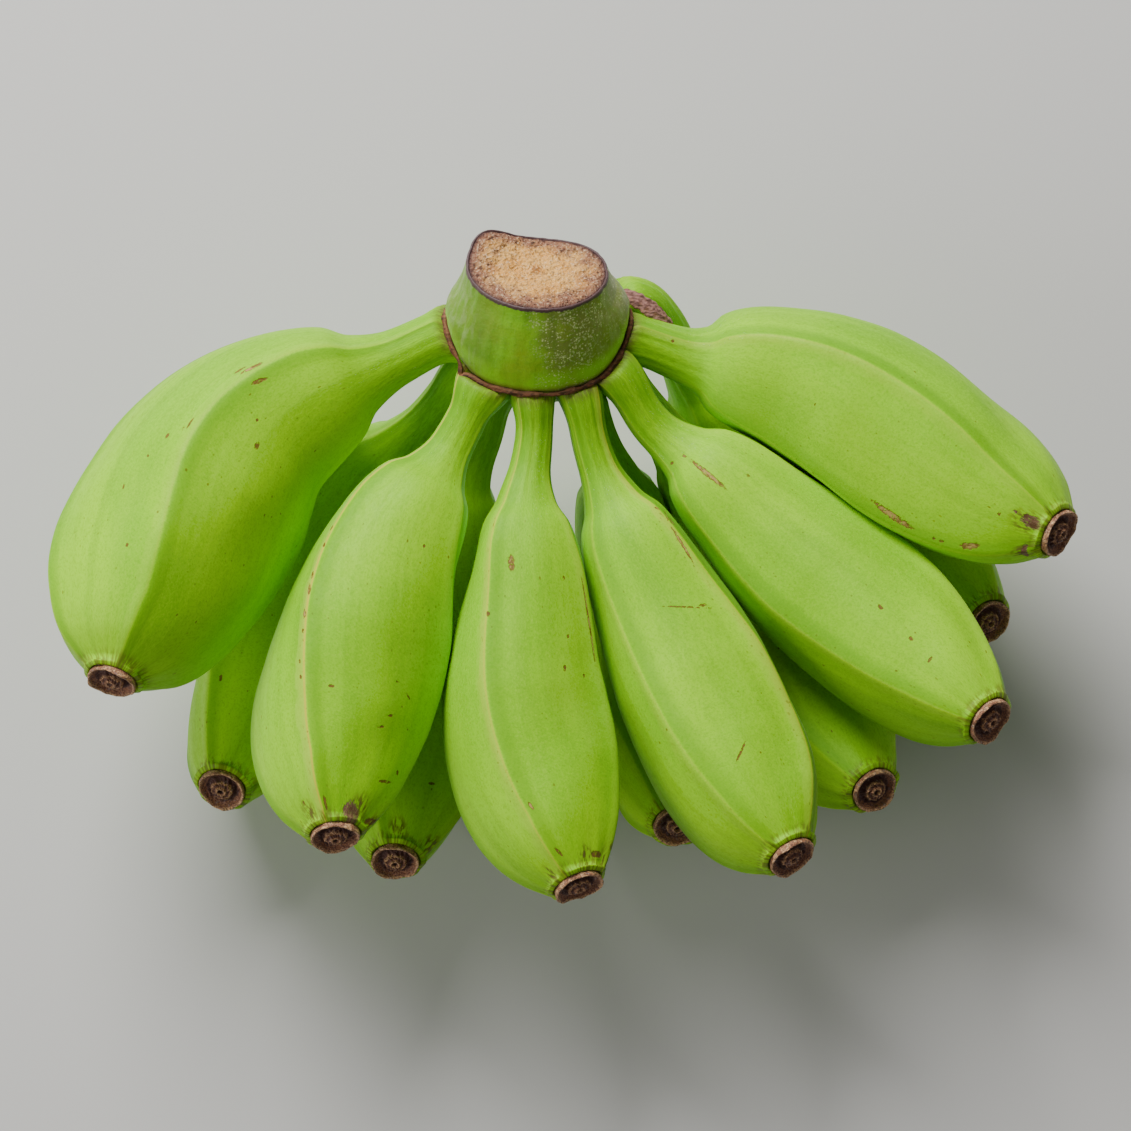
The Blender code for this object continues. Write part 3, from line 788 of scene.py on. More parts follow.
def dried_flesh():
    """Dried flower ends: tan curled lips, dark wrinkled rings and a tan nub with a black middle."""
    settings = bpy.context.scene.plantains.flower_ends
    f = Finish("dried_flower_end")
    place, out = f.vector("cup_place"), f.number("cup_out")
    wander = f.ease(f.noise(place, 0.6, 3.0), 0.2, 0.8, -0.045, 0.045)
    dark, brown, tan = settings.dark, settings.brown, settings.tan
    rings = f.math("ADD", out, wander)
    f.colour = f.bands(
        rings, (0.0, tone(26, 16, 12)), (0.07, tone(34, 22, 16)), (0.12, brown), (0.17, tan), (0.23, brown),
        (0.3, dark), (0.38, brown), (0.44, tan), (0.49, dark), (0.68, dark), (0.74, brown), (0.86, brown),
        (0.92, tan), (0.97, tan), (1.0, brown))
    fibre = f.noise(f.drawn(place, 2.0), 1.8, 4.0)
    f.paint(dark, f.ease(fibre, 0.42, 0.62, 0.0, 0.8))
    f.paint(tone(168, 150, 150), f.ease(f.noise(place, 1.0, 3.0), 0.58, 0.7, 0.0, 0.45))
    height = f.math("ADD", fibre, f.noise(place, 0.9, 4.0))
    return f.surface(f.ease(fibre, 0.3, 0.7, 0.45, 0.7), f.bump(height, 0.0004), Specular_IOR_Level=0.5)


def crown_skin():
    """The crown's skin: duller on its left, bright in front, olive with pale flecks on its right."""
    settings = bpy.context.scene.plantains.crown
    greens = bpy.context.scene.plantains.fingers
    f = Finish("crown_peel")
    place, rise = f.vector("upright"), f.number("rise")
    across = f.part(place, "X")
    streaks = f.noise(f.drawn(place, 0.12), 0.5, 3.0)
    patches = f.noise(place, 0.08, 3.0)
    mottle = f.noise(place, 0.6, 4.0, 0.65)
    f.colour = f.mix(f.ease(patches, 0.35, 0.65), settings.green, greens.mid_green)
    f.paint(tone(104, 136, 26), f.ease(across, -8.0, -17.0, 0.0, 0.75))
    wander = f.math("ADD", across, f.ease(patches, 0.3, 0.7, -5.0, 5.0))
    f.paint(tone(126, 128, 56), f.ease(wander, -2.0, 9.0, 0.0, 0.85))
    f.paint(greens.deep_green, f.ease(streaks, 0.52, 0.7, 0.0, 0.2))
    f.paint(greens.deep_green, f.ease(mottle, 0.48, 0.66, 0.0, 0.3))
    low = f.product(f.ease(rise, 9.0, 4.0), f.ease(patches, 0.3, 0.6, 0.2, 0.7))
    f.paint(greens.light_green, low)
    outer = f.math("MAXIMUM", f.ease(across, -15.0, -20.0), f.ease(across, 13.0, 19.0))
    pale = f.product(outer, f.ease(f.noise(f.drawn(place, 0.25), 0.5, 4.0), 0.44, 0.66), 0.18)
    f.paint(tone(214, 218, 176), pale)
    crumbs = f.noise(place, 1.5, 3.0, 0.6)
    flecked = f.product(f.ease(wander, -3.0, 9.0, 0.04, 1.0), f.ease(wander, 24.0, 15.0, 0.3, 1.0))
    clumps = f.ease(f.noise(place, 0.3, 2.0), 0.35, 0.6, 0.0, 0.09)
    fleck = f.ease(f.math("ADD", crumbs, clumps), 0.62, 0.68)
    f.paint(tone(214, 220, 156), fleck, flecked, 0.75)
    dot_far, dot_hue = f.cells(place, 1.15)
    chance = f.math("ADD", f.part(dot_hue, "X"), f.ease(patches, 0.35, 0.6, 0.0, 0.25))
    dots = f.product(f.ease(dot_far, 0.36, 0.2), f.ease(chance, 0.72, 0.8), flecked)
    f.paint(tone(240, 244, 170), dots, 0.85)
    f.paint(tone(120, 96, 54), f.ease(rise, 2.2, -0.5, 0.0, 0.5))
    frayed = f.math("ADD", rise, f.ease(mottle, 0.3, 0.7, -0.25, 0.25))
    f.paint(settings.rim, f.ease(frayed, 26.2, 26.7))
    height = f.math("ADD", f.math("MULTIPLY", streaks, 0.5), f.math("MULTIPLY", mottle, 0.6))
    return f.surface(f.ease(mottle, 0.3, 0.7, 0.42, 0.56), f.bump(height, 0.0003), Sheen_Weight=0.08)


def cut_fibre():
    """The cut: peach fibre, browner and coarser towards the skin, with dark specks and pale threads."""
    settings = bpy.context.scene.plantains.crown
    f = Finish("cut_fibre")
    place, out = f.vector("cup_place"), f.number("cup_out")
    ends, _ = f.cells(place, 1.1)
    threads = f.noise(place, 1.5, 4.0, 0.65)
    wander = f.math("ADD", out, f.ease(f.noise(place, 0.25, 3.0), 0.3, 0.7, -0.12, 0.12))
    outer = f.ease(wander, 0.5, 0.92)
    f.colour = f.mix(f.ease(f.noise(place, 0.16, 3.0), 0.35, 0.65), settings.pith, tone(240, 170, 80))
    f.paint(tone(146, 98, 82), outer, 0.9)
    heart = f.size(f.added(f.drawn(place, 0), (0.6, 0.2, 0.0)))
    heart = f.math("ADD", heart, f.ease(threads, 0.3, 0.7, -1.2, 1.2))
    f.paint(tone(150, 74, 36), f.ease(heart, 1.9, 0.7, 0.0, 0.6))
    f.paint(tone(255, 226, 184), f.ease(threads, 0.5, 0.68, 0.0, 0.65))
    hollows = f.product(f.ease(ends, 0.24, 0.1), f.ease(outer, 0.0, 1.0, 0.45, 0.85))
    f.paint(tone(116, 74, 50), hollows)
    specks = f.product(f.ease(f.noise(place, 0.8, 4.0), 0.56, 0.66), f.ease(outer, 0.0, 1.0, 0.5, 0.95))
    f.paint(tone(84, 56, 46), specks)
    f.paint(tone(98, 68, 64), f.ease(out, 0.92, 1.0, 0.0, 0.85))
    return f.surface(0.8, f.bump(f.math("ADD", threads, ends), 0.0006), Specular_IOR_Level=0.3)


def scar_bark(name, base, cracks):
    """Dried bract: brown, with dark cracks and lighter torn edges."""
    f = Finish(name)
    place, out = f.vector("cup_place"), f.number("cup_out")
    strands = f.noise(f.scaled(place, 0.4, 1, 1), 1.2, 4.0)
    f.colour = f.mix(f.ease(strands, 0.42, 0.62), base, cracks)
    f.paint(tone(164, 112, 82), f.ease(f.noise(place, 0.6, 3.0), 0.52, 0.68, 0.0, 0.6))
    f.paint(tone(150, 110, 70), f.ease(out, 0.7, 1.0, 0.0, 0.35))
    return f.surface(0.75, f.bump(strands, 0.0005), Specular_IOR_Level=0.35)


def pale_floor():
    settings = bpy.context.scene.plantains.stage
    f = Finish("pale_floor")
    place = f.node("TexCoord").outputs["Object"]
    patches = f.ease(f.noise(place, 3.0, 3.0), 0.3, 0.7, 0.0, 0.15)
    f.colour = f.mix(patches, settings.floor, tone(204, 202, 198))
    return f.surface(0.7)


# Which ridges show worn tan skin, from the first ridge round, as shares
RIDGE_WEAR = {
    "front_1": (0.1, 0.1, 0.1, 0.1), "front_2": (1.0, 0.1, 0.1, 0.15), "front_3": (0.45, 0.2, 0.1, 0.15),
    "front_4": (0.15, 0.5, 0.1, 0.15), "front_5": (0.12, 0.1, 0.1, 0.15), "front_6": (0.15, 0.2, 0.1, 0.15),
}
PLAIN_WEAR = (0.1, 0.1, 0.1, 0.1)

# Where the marks of a ridge start and are full, as a share of half a face, and those of the scar, in mm
RIDGE_NEAR = (0.8, 0.55)
SCAR_NEAR = (5.0, 0.5)


def mark_map(mesh, finger, angles, marks):
    """A UV map with each scratch's own coordinates: from -1 to 1 along and across it, 9 elsewhere.

    The number "scab" says what the nearest one is: 0 a scratch, 1 with a pale middle, 2 purple."""
    rings = len(finger.share)
    run = spread(mesh, np.repeat(finger.share[:, None] * finger.length, len(angles), 1))
    around = spread(mesh, np.repeat(angles[None, :], rings, 0))
    radius = spread(mesh, np.repeat(finger.radius[:, None], len(angles), 1))
    corners = np.zeros(len(mesh.loops), int)
    mesh.loops.foreach_get("vertex_index", corners)
    sizes = np.zeros(len(mesh.polygons), int)
    mesh.polygons.foreach_get("loop_total", sizes)
    face = np.repeat(np.arange(len(sizes)), sizes)
    best, place = np.full(len(sizes), 3.0), np.full((len(corners), 2), 9.0)
    scab = np.zeros(len(run), np.float32)
    for at, angle_deg, length, width, tilt_deg, *kind in marks:
        lengthwise = run[corners] - at * finger.length
        crosswise = angle_from(around[corners], angle_deg) * radius[corners]
        tilt = math.radians(tilt_deg)
        x = (lengthwise * math.cos(tilt) + crosswise * math.sin(tilt)) / (length / 2)
        y = (crosswise * math.cos(tilt) - lengthwise * math.sin(tilt)) / (width / 2)
        middle = np.bincount(face, np.hypot(x, y)) / sizes
        closer = middle < best
        best = np.where(closer, middle, best)
        place[closer[face]] = np.column_stack([x, y])[closer[face]]
        scab[corners[closer[face]]] = kind[0] if kind else 0
    layer = mesh.uv_layers.new(name="mark")
    layer.data.foreach_set("uv", place.astype(np.float32).ravel())
    made = mesh.attributes.new("scab", "FLOAT", "POINT")
    made.data.foreach_set("value", scab)


# Scratches: share along the finger, degrees round it from the first ridge, length, width, tilt and kind
MARKS = {
    "front_1": (
        (0.424, 356, 6.4, 1.5, 172, 1), (0.440, 351, 3.5, 1.0, 178), (0.425, 7, 5.0, 1.2, 168),
        (0.467, 25, 1.3, 1.0, 32), (0.478, 28, 0.9, 0.7, 10), (0.504, 35, 2.9, 1.9, 175),
        (0.495, 26, 1.2, 0.8, 170), (0.591, 345, 2.2, 1.1, 7), (0.583, 341, 1.2, 0.8, 30),
        (0.715, 328, 1.8, 1.1, 9), (0.553, 355, 3.9, 0.9, 1), (0.566, 353, 1.4, 0.8, 5),
        (0.64, 338, 1.2, 0.9, 20), (0.83, 342, 1.6, 1.0, 0),
    ),
    "front_2": (
        (0.338, 352, 9.5, 1.0, 0, 1), (0.438, 357, 1.5, 1.2, 6), (0.467, 359, 1.3, 1.1, 17),
        (0.521, 358, 2.1, 1.2, 13), (0.548, 359, 3.1, 1.5, 9, 1), (0.597, 358, 2.9, 1.7, 0, 1),
        (0.635, 358, 1.5, 1.2, 0), (0.702, 356, 1.5, 1.1, 0), (0.736, 357, 1.5, 1.1, 0),
        (0.398, 78, 1.3, 0.9, 2), (0.533, 67, 1.4, 1.0, 1), (0.662, 45, 1.4, 0.9, 7),
        (0.742, 17, 2.2, 1.2, 105), (0.686, 66, 2.4, 0.8, 47), (0.707, 76, 3.2, 0.8, 51),
        (0.745, 67, 1.2, 0.9, 13), (0.772, 63, 2.5, 1.2, 129), (0.814, 57, 2.9, 1.4, 126),
        (0.894, 91, 1.8, 1.2, 57), (0.925, 81, 5.8, 1.0, 108), (0.99, 49, 6.6, 4.4, 71, 2),
        (0.99, 100, 5.5, 1.8, 106), (0.982, 6, 3.4, 0.9, 0), (0.97, 334, 1.4, 0.9, 0),
    ),
    "front_3": (
        (0.369, 21, 2.8, 0.7, 0), (0.39, 20, 4.8, 2.3, 0, 1), (0.485, 1, 1.7, 1.2, 0),
        (0.586, 61, 2.4, 1.2, -14), (0.602, 78, 1.6, 0.9, -5), (0.416, 72, 1.3, 0.8, -6),
        (0.519, 68, 1.5, 0.8, -6), (0.5, 91, 26.0, 0.7, 0, 1), (0.885, 5, 2.6, 1.0, 10, 1),
        (0.972, 10, 2.6, 1.0, 20), (0.985, 70, 4.6, 1.6, 85), (0.975, 100, 1.8, 1.0, 0),
    ),
    "front_4": (
        (0.326, 87, 1.6, 0.8, 46), (0.345, 92, 5.3, 0.9, -46), (0.358, 93, 3.4, 2.2, -30, 1),
        (0.366, 120, 3.1, 0.9, 36), (0.405, 83, 12.6, 0.9, -5, 1), (0.513, 55, 16.5, 0.6, 65),
        (0.521, 67, 2.7, 1.0, 76), (0.834, 32, 8.8, 0.9, -47),
    ),
    "front_5": (
        (0.271, 39, 1.8, 0.9, 15), (0.321, 42, 13.1, 1.7, 4, 1), (0.379, 43, 2.9, 1.0, 7),
        (0.262, 12, 1.4, 0.9, 88), (0.371, 69, 1.2, 0.9, -9), (0.462, 47, 1.4, 0.9, -16),
        (0.744, 46, 2.4, 1.4, -11), (0.839, 41, 1.9, 1.2, -9), (0.898, 37, 2.5, 0.9, 99),
    ),
    "front_6": (
        (0.742, 17, 17.4, 2.0, -6, 1), (0.838, 15, 1.2, 0.9, 4), (0.854, 15, 1.5, 0.9, 6),
        (0.905, 17, 5.3, 2.2, 13, 1), (0.472, 53, 1.3, 0.8, -39), (0.935, 56, 1.0, 1.2, 17),
        (0.958, 66, 1.5, 1.2, 32), (0.168, 83, 1.0, 1.2, -19), (0.985, 63, 5.0, 4.6, 0, 2),
        (0.987, 8, 6.5, 1.4, 90, 2),
    ),
    "back_1": (
        (0.62, 40, 2.0, 1.1, 20), (0.78, 70, 1.6, 1.0, 70), (0.85, 10, 3.0, 1.0, 0),
    ),
    "back_2": (
        (0.7, 30, 1.8, 1.0, 10), (0.9, 60, 2.4, 1.0, 100),
    ),
    "back_3": (
        (0.66, 50, 1.8, 1.0, 30), (0.82, 20, 2.2, 0.9, 0),
    ),
    "back_4": (
        (0.58, 20, 2.0, 1.0, 10), (0.8, 60, 1.6, 1.1, 60),
    ),
    "back_5": (
        (0.5, 60, 2.2, 1.0, 20), (0.72, 30, 1.6, 1.0, 0), (0.88, 80, 2.6, 1.0, 90),
    ),
}

# How brown the skin is at the flower end, and where along the finger that starts and is full
TIP_BROWN = 0.62
TIP_BROWN_AT = (0.975, 0.998)

# Smudges: share along the finger, degrees round it from the first ridge, and radius
STAINS = {
    "front_2": ((0.985, 60, 4.0), (0.99, 110, 3.5), (0.985, 335, 3.0)),
    "front_3": ((0.985, 50, 3.0), (0.985, 95, 3.5), (0.99, 340, 2.5)),
    "front_6": ((0.98, 60, 4.5), (0.985, 10, 3.0)),
    "back_2": ((0.985, 30, 3.5), (0.985, 100, 3.5)),
}


def smudges(finger, angles, stains):
    """How brown each point of the skin is from the smudges near it and from the flower end."""
    run = finger.share[:, None] * finger.length
    brown = TIP_BROWN * fade(finger.share[:, None], *TIP_BROWN_AT) + np.zeros_like(angles)[None, :]
    for at, angle_deg, radius in stains:
        crosswise = angle_from(angles[None, :], angle_deg) * finger.radius[:, None]
        off = np.hypot(run - at * finger.length, crosswise)
        brown = np.maximum(brown, np.exp(-((off / radius) ** 2)))
    return brown


def collared(rings, finger, angles, draw):
    """The rings with the green collar that curls in round the flower end."""
    turned = angles + finger.turn[-1]
    out = np.cos(turned)[:, None] * finger.front[-1] + np.sin(turned)[:, None] * finger.side[-1]
    uneven = 0.18 * waves(draw, angles, (5,)) + 0.12 * waves(draw, angles, (9,))
    collar = [
        finger.line[-1] + (radius + uneven)[:, None] * out + (past + 0.6 * uneven)[:, None] * finger.along[-1]
        for radius, past in COLLAR
    ]
    return np.concatenate([rings, np.array(collar)])


def drawn_under_scar(rings):
    """The rings with the necks drawn in under the bract scar, and how close to it each point lies, in mm."""
    points = hand_to_crown(rings)
    x, y, z = np.moveaxis(points, -1, 0)
    wide, deep = SCAR_AT
    turn = np.arctan2(y / deep, x / wide)
    out = np.hypot(x, y) - np.hypot(wide * np.cos(turn), deep * dented(turn) * np.sin(turn))
    scar = SCAR_HEIGHT + scar_rise(turn) - scar_kink(turn)
    limit = scar - UNDER_SCAR + UNDER_SCAR_RISE * np.maximum(out - UNDER_SCAR_TO, 0)
    over = np.clip((z - limit) / UNDER_SCAR_SOFT, -30, 30)
    points[..., 2] = z - UNDER_SCAR_SOFT * np.log1p(np.exp(over))
    return crown_to_hand(points), np.hypot(np.maximum(out, 0), points[..., 2] - scar)


def make_finger(name, neighbours, finish):
    settings = bpy.context.scene.plantains.fingers
    draw = np.random.default_rng(sorted(FINGERS).index(name) + FINGER_SEED)
    own = Finger(FINGERS[name], settings.stations)
    angles = section_angles(own.ridges, settings.face_points)
    others = [other for key, other in neighbours.items() if key != name and own.near(other)]
    rings = pressed(own.rings(angles, skin_relief(own, angles, draw)), own, others, settings.press_gap / MM)
    rings, from_scar = drawn_under_scar(collared(rings, own, angles, draw))
    world = to_world(rings)
    world[..., 2] = np.maximum(world[..., 2], 0.0)
    mesh = closed_mesh("finger_" + name, world)
    for part in ("share", "radius"):
        values = getattr(own, part)
        setattr(own, part, np.concatenate([values, np.full(len(COLLAR), values[-1])]))
    face, off, half, side = across_face(angles, own.ridges)
    ridge_mm = np.sqrt(own.radius * own.belly)[:, None] * (off * half * side)[None, :]
    nearest = (face + (side < 0)) % len(RIDGE_DEG)
    wear = np.array(RIDGE_WEAR.get(name, PLAIN_WEAR))[nearest]
    shift = SKIN_SHIFT * (1 + sorted(FINGERS).index(name))
    everywhere = np.ones_like(ridge_mm)
    place = np.stack([
        own.belly * np.cos(angles) * everywhere + shift,
        own.belly * np.sin(angles) * everywhere,
        own.share[:, None] * own.length * everywhere,
    ], -1)
    add_vector(mesh, "lengthwise", place)
    add_number(mesh, "ridge_mm", ridge_mm)
    add_number(mesh, "ridge_near", fade(off, *RIDGE_NEAR)[None, :] * everywhere)
    add_number(mesh, "rooted", fade(from_scar, *SCAR_NEAR))
    add_number(mesh, "along", own.share[:, None] * everywhere)
    add_number(mesh, "ridge_wear", wear * everywhere)
    add_number(mesh, "stain", smudges(own, angles, STAINS.get(name, ())))
    mark_map(mesh, own, angles, MARKS.get(name, ()))
    add_piece("fine_finger_" + name, mesh, finish, "green_skin", "finger_" + name)


def make_flower_end(name, finish):
    settings = bpy.context.scene.plantains.flower_ends
    finger = Finger(FINGERS[name], settings.sides)
    draw = np.random.default_rng(sorted(FINGERS).index(name) + CUP_SEED)
    angles = np.linspace(0, 2 * np.pi, settings.sides, endpoint=False)
    profile = np.array(CUP_PROFILE)
    at = np.linspace(0, len(profile) - 1, CUP_RINGS)[1:-1]
    radius, height = (np.interp(at, np.arange(len(profile)), profile[:, i]) for i in range(2))
    outward = np.clip(radius / CUP_RADIUS, 0, 1)[:, None]
    wave = sum(waves(draw, angles, (k,)) / k for k in (2, 3, 5, 8, 13))
    wrinkle = waves(draw, angles, (7, 11, 17), 2.0 * at[:, None]) / 3
    top = (at < CUP_BACK_FROM)[:, None]
    lift = settings.lip_wave / MM * wave * outward**2 + 0.3 * wrinkle * (1 - np.abs(2 * outward - 1)) * 2
    r = radius[:, None] * (1 + 0.05 * wave * outward * (1 - 0.5 * outward)) + 0.1 * wrinkle
    z = height[:, None] + np.where(top, lift, 0.0)
    end = finger.line[-1] + NUB_GAP * finger.along[-1]
    out = np.cos(angles)[:, None] * finger.front[-1] + np.sin(angles)[:, None] * finger.side[-1]
    rings = end + r[..., None] * out[None] + z[..., None] * finger.along[-1]
    mesh = closed_mesh("flower_end_" + name, to_world(rings))
    shift = CUP_SHIFT * sorted(FINGERS).index(name)
    place = np.stack([r * np.cos(angles) + shift, r * np.sin(angles), z], -1)
    add_vector(mesh, "cup_place", place)
    add_number(mesh, "cup_out", np.broadcast_to(outward, r.shape))
    add_piece("fine_flower_end_" + name, mesh, finish, "dried_brown", "flower_end_" + name)


def dented(round_angle):
    """The share of the crown's depth that its flattened back leaves."""
    return np.where(np.sin(round_angle) > 0, 1 - BACK_DENT * np.sin(round_angle) ** 2, 1.0)


def scar_rise(round_angle):
    """How far the bract scar climbs at the sides of the crown, over the outer fingers' necks."""
    return SCAR_RISE * np.abs(np.cos(round_angle)) ** SCAR_RISE_TO


def scar_kink(round_angle):
    """How far the scar drops at its kink."""
    return KINK_DROP * np.exp(-np.abs(angle_from(round_angle, KINK_DEG) / KINK_WIDTH) ** 1.3)


def crown_ring(height, wide, deep, sides):
    """A ring of the crown: rounded in front, dented at the back, and lifted with the scar."""
    turn = np.linspace(0, 2 * np.pi, sides, endpoint=False)
    x = wide * np.cos(turn)
    y = deep * dented(turn) * np.sin(turn)
    lift = scar_rise(turn) * np.interp(height, LIFT_FROM_TO, (0, 1, 1, 0))
    return np.stack([x, y, height + lift], 1)


def cut_lift(ring):
    """Height that the uneven cut adds over a level top: a slope across and a lip at one corner."""
    off = np.hypot(ring[:, 0] - CUT_LIP_AT[0], ring[:, 1] - CUT_LIP_AT[1])
    return CUT_SLOPE * ring[:, 0] + CUT_LIP * np.exp(-((off / CUT_LIP_WIDTH) ** 2))


def make_crown(finish):
    settings = bpy.context.scene.plantains.crown
    draw = np.random.default_rng(CROWN_SEED)
    levels = np.array(CROWN_LEVELS)
    heights = np.linspace(levels[0, 0], levels[-1, 0], CROWN_RINGS)
    wide, deep = (monotone(levels[:, (0, i)], heights) for i in (1, 2))
    turn = np.linspace(0, 2 * np.pi, settings.sides, endpoint=False)
    groove = waves(draw, turn, (9, 16, 23, 37)) * settings.groove_depth / MM / 2
    rings, rise = [], []
    for height, w, d in zip(heights, wide, deep):
        ring = crown_ring(height, w, d, settings.sides)
        out = ring[:, :2] / np.linalg.norm(ring[:, :2], axis=1)[:, None]
        swing = groove * np.cos(0.11 * height + 2 * turn)
        ring[:, :2] += out * swing[:, None]
        lifted = np.clip((height - CUT_LIP_FROM) / (CUT_HEIGHT - CUT_LIP_FROM), 0, 1)
        ring[:, 2] += cut_lift(ring) * lifted
        rings.append(ring)
        rise.append(np.full(settings.sides, height))
    top = rings[-1]
    for inset, lift in CUT_RIM:
        out = top[:, :2] / np.linalg.norm(top[:, :2], axis=1)[:, None]
        ring = top.copy()
        ring[:, :2] -= inset * out
        ring[:, 2] += lift
        rings.append(ring)
        rise.append(np.full(settings.sides, CUT_HEIGHT + 1))
    rings, rise = np.array(rings), np.array(rise)
    mesh = closed_mesh("crown", to_world(crown_to_hand(rings)))
    add_vector(mesh, "upright", rings)
    add_number(mesh, "rise", rise)
    add_piece("fine_crown", mesh, finish, "green_skin", "crown")


def make_pith(finish):
    """The tan inside of the peduncle: a rough cut surface."""
    draw = np.random.default_rng(PITH_SEED)
    _, wide, deep = CROWN_LEVELS[-1]
    shares = np.concatenate([np.linspace(0.02, 1.0, PITH_RINGS), [1.0]])
    rings = []
    swells = draw.normal(0, 1.1, (PITH_WAVES, 2))
    phases = draw.uniform(0, 6.28, PITH_WAVES)
    for i, share in enumerate(shares):
        ring = crown_ring(CUT_HEIGHT, share * (wide - PITH_INSET), share * (deep - PITH_INSET), PITH_SIDES)
        rough = np.cos(ring[:, :2] @ swells.T + phases).sum(1) / PITH_WAVES**0.5
        edge = 1 - fade(share, 0.9, 1.0)
        ring[:, 2] = CUT_HEIGHT + cut_lift(ring) + PITH_HEIGHT * (0.35 + 0.65 * edge) + PITH_ROUGH * rough
        if i == len(shares) - 1:
            ring[:, 2] = CUT_HEIGHT - PITH_DEPTH
        rings.append(ring)
    rings = np.array(rings)
    mesh = closed_mesh("cut_pith", to_world(crown_to_hand(rings)))
    add_vector(mesh, "cup_place", rings)
    add_number(mesh, "cup_out", np.broadcast_to(shares[:, None], rings.shape[:2]))
    add_piece("fine_cut_pith", mesh, finish, "cut_pith", "cut_pith")


def make_bract(finish):
    """A dried strip of bract, flat and scaly, that is left between the outer necks."""
    draw = np.random.default_rng(BRACT_SEED)
    line, along, _ = smooth_line(BRACT_LINE, BRACT_RINGS)
    share = np.linspace(0, 1, BRACT_RINGS)
    spin = np.linspace(0, 2 * np.pi, BRACT_SIDES, endpoint=False)
    across = np.cross(along, (0.25, 0.35, 1.0))
    across /= np.linalg.norm(across, axis=1)[:, None]
    up = np.cross(across, along)
    swell = np.sqrt(np.clip(np.sin(np.pi * share) + 0.12, 0, 1))
    wide, thick = BRACT_SIZE
    ragged = 1 + 0.05 * waves(draw, BRACT_TURN * share, (2, 5, 9))
    scales = 1 + 0.3 * sum(
        waves(draw, BRACT_TURN * share[:, None], (k,), m * np.cos(spin)[None, :])
        for k, m in ((0.8, 5.0), (1.4, 8.0), (2.1, 11.0))) / 2
    x = (wide * swell * ragged)[:, None] * np.cos(spin)[None, :]
    z = (thick * swell)[:, None] * np.sin(spin)[None, :] * scales
    rings = line[:, None, :] + x[..., None] * across[:, None, :] + z[..., None] * up[:, None, :]
    mesh = closed_mesh("dried_bract", to_world(rings))
    add_vector(mesh, "cup_place", rings)
    add_number(mesh, "cup_out", np.abs(np.cos(spin))[None, :] * np.ones_like(x))
    add_piece("fine_dried_bract", mesh, finish, "dried_brown")


def make_scar(finish):
    """The bract scar: an uneven dried rope that runs round under the crown's lip."""
    draw = np.random.default_rng(SCAR_SEED)
    turn = np.linspace(0, 2 * np.pi, SCAR_RINGS, endpoint=False)
    ring = crown_ring(SCAR_HEIGHT, *SCAR_AT, SCAR_RINGS)
    ring[:, 2] = SCAR_HEIGHT + scar_rise(turn) - scar_kink(turn)
    ring[:, :2] *= 1 + KINK_REACH * scar_kink(turn)[:, None]
    ring[:, 2] += 0.16 * waves(draw, turn, (7, 13, 19)) / 1.5
    ahead = np.roll(ring, -1, axis=0) - np.roll(ring, 1, axis=0)
    ahead /= np.linalg.norm(ahead, axis=1)[:, None]
    out = np.column_stack([ring[:, :2], np.zeros(SCAR_RINGS)])
    out -= (out * ahead).sum(1)[:, None] * ahead
    out /= np.linalg.norm(out, axis=1)[:, None]
    up = np.cross(ahead, out)
    thick = SCAR_RADIUS * (1 + 0.16 * waves(draw, turn, (5, 11, 17, 29)) / 1.4)
    spin = np.linspace(0, 2 * np.pi, SCAR_SIDES, endpoint=False)
    strand = 1 + 0.1 * np.cos(3 * spin[None, :] + 26 * turn[:, None])
    strand += 0.08 * np.cos(5 * spin[None, :] - 9 * turn[:, None])
    r = thick[:, None] * strand
    outward = np.cos(spin)[None, :, None] * out[:, None, :]
    rings = ring[:, None, :] + r[..., None] * (outward + np.sin(spin)[None, :, None] * up[:, None, :])
    index = np.arange(r.size).reshape(r.shape)
    right, above = np.roll(index, -1, axis=1), np.roll(index, -1, axis=0)
    quads = np.stack([index, right, np.roll(right, -1, axis=0), above], -1).reshape(-1, 4)
    mesh = skinned("bract_scar", to_world(crown_to_hand(rings)).reshape(-1, 3), quads.tolist())
    add_vector(mesh, "cup_place", rings)
    add_number(mesh, "cup_out", np.abs(np.broadcast_to(np.sin(spin), r.shape)))
    add_piece("fine_bract_scar", mesh, finish, "dried_brown", "bract_scar")


class PLANTAINS_OT_fingers(Operator):
    """Build the eleven fingers"""

    bl_idname = "plantains.fingers"
    bl_label = "Fingers"

    def execute(self, context):
        finish = green_skin()
        neighbours = {name: Finger(spec, PRESS_STATIONS) for name, spec in FINGERS.items()}
        for name in FINGERS:
            make_finger(name, neighbours, finish)
        return {"FINISHED"}


class PLANTAINS_OT_flower_ends(Operator):
    """Build the dried flower end on each finger"""

    bl_idname = "plantains.flower_ends"
    bl_label = "Flower ends"

    def execute(self, context):
        finish = dried_flesh()
        for name in FINGERS:
            make_flower_end(name, finish)
        return {"FINISHED"}


class PLANTAINS_OT_crown(Operator):
    """Build the crown and its cut"""

    bl_idname = "plantains.crown"
    bl_label = "Crown"

    def execute(self, context):
        make_crown(crown_skin())
        make_pith(cut_fibre())
        return {"FINISHED"}


class PLANTAINS_OT_bract_scar(Operator):
    """Build the dried bract scar and the strip of bract beside it"""

    bl_idname = "plantains.bract_scar"
    bl_label = "Bract scar"

    def execute(self, context):
        settings = context.scene.plantains.crown
        make_scar(scar_bark("scar_bark", settings.scar, tone(66, 38, 28)))
        make_bract(scar_bark("dried_bract", settings.bract, tone(110, 74, 66)))
        return {"FINISHED"}


def add_light(name, at, size, power):
    light = bpy.data.lights.new(name, "AREA")
    light.shape = "DISK"
    light.size = size
    light.energy = power
    lamp = bpy.data.objects.new(name, light)
    lamp.location = at
    lamp.rotation_euler = (-lamp.location).to_track_quat("-Z", "Y").to_euler()
    bpy.context.scene.collection.objects.link(lamp)


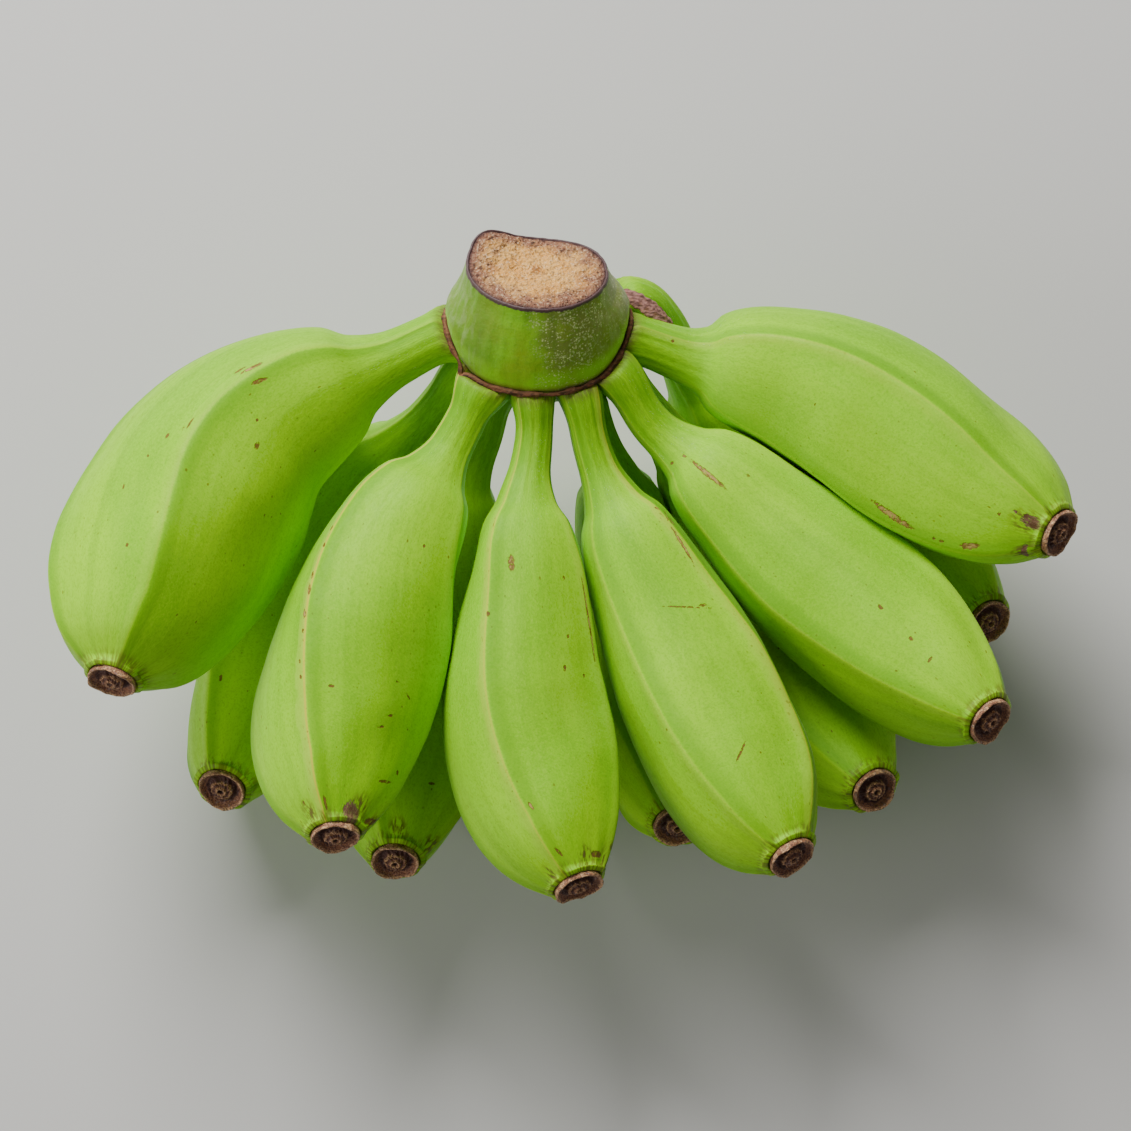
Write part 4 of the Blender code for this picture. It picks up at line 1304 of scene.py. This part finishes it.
class PLANTAINS_OT_stage(Operator):
    """Build the camera, the floor and the lights"""

    bl_idname = "plantains.stage"
    bl_label = "Stage"

    def execute(self, context):
        settings = context.scene.plantains.stage
        camera = bpy.data.objects.new("camera", bpy.data.cameras.new("camera"))
        camera.location = to_world((0, 0, CAMERA_DISTANCE / MM))
        camera.rotation_euler.x = math.radians(LEAN_DEG)
        camera.data.sensor_width = SENSOR_WIDTH
        camera.data.lens = SENSOR_WIDTH * CAMERA_DISTANCE / VIEW_WIDTH
        context.scene.collection.objects.link(camera)
        context.scene.camera = camera
        sheet = bmesh.new()
        bmesh.ops.create_grid(sheet, x_segments=8, y_segments=8, size=settings.floor_size / 2)
        mesh = bpy.data.meshes.new("floor")
        sheet.to_mesh(mesh)
        sheet.free()
        mesh.materials.append(pale_floor())
        floor = bpy.data.objects.new("floor", mesh)
        context.scene.collection.objects.link(floor)
        add_light("key", *KEY_LIGHT, settings.key_power)
        add_light("fill", *FILL_LIGHT, settings.fill_power)
        sky = bpy.data.worlds.new("studio")
        sky.use_nodes = True
        sky.node_tree.nodes["Background"].inputs["Strength"].default_value = settings.sky
        sky.node_tree.nodes["Background"].inputs["Color"].default_value = (1.0, 1.0, 1.0, 1.0)
        context.scene.world = sky
        return {"FINISHED"}


STEPS = (
    PLANTAINS_OT_fingers, PLANTAINS_OT_flower_ends, PLANTAINS_OT_crown, PLANTAINS_OT_bract_scar,
    PLANTAINS_OT_stage,
)


class PLANTAINS_PT_hand(Panel):
    """The steps that build the hand, and what a user would change"""

    bl_idname = "PLANTAINS_PT_hand"
    bl_label = "Hand of Plantains"
    bl_space_type = "VIEW_3D"
    bl_region_type = "UI"
    bl_category = "Plantains"

    def draw(self, context):
        for step in STEPS:
            self.layout.operator(step.bl_idname)
        settings = context.scene.plantains
        for group in (settings.fingers, settings.flower_ends, settings.crown, settings.stage):
            box = self.layout.box()
            for name in group.__annotations__:
                box.prop(group, name)


CLASSES = (
    FingerSettings, FlowerEndSettings, CrownSettings, StageSettings, PlantainSettings, *STEPS,
    PLANTAINS_PT_hand,
)


def register():
    for each in CLASSES:
        bpy.utils.register_class(each)
    bpy.types.Scene.plantains = PointerProperty(type=PlantainSettings)


def unregister():
    del bpy.types.Scene.plantains
    for each in reversed(CLASSES):
        bpy.utils.unregister_class(each)


def main():
    register()
    bpy.ops.plantains.fingers()
    bpy.ops.plantains.flower_ends()
    bpy.ops.plantains.crown()
    bpy.ops.plantains.bract_scar()
    bpy.ops.plantains.stage()
    bpy.context.view_layer.update()


if __name__ == "__main__":
    main()
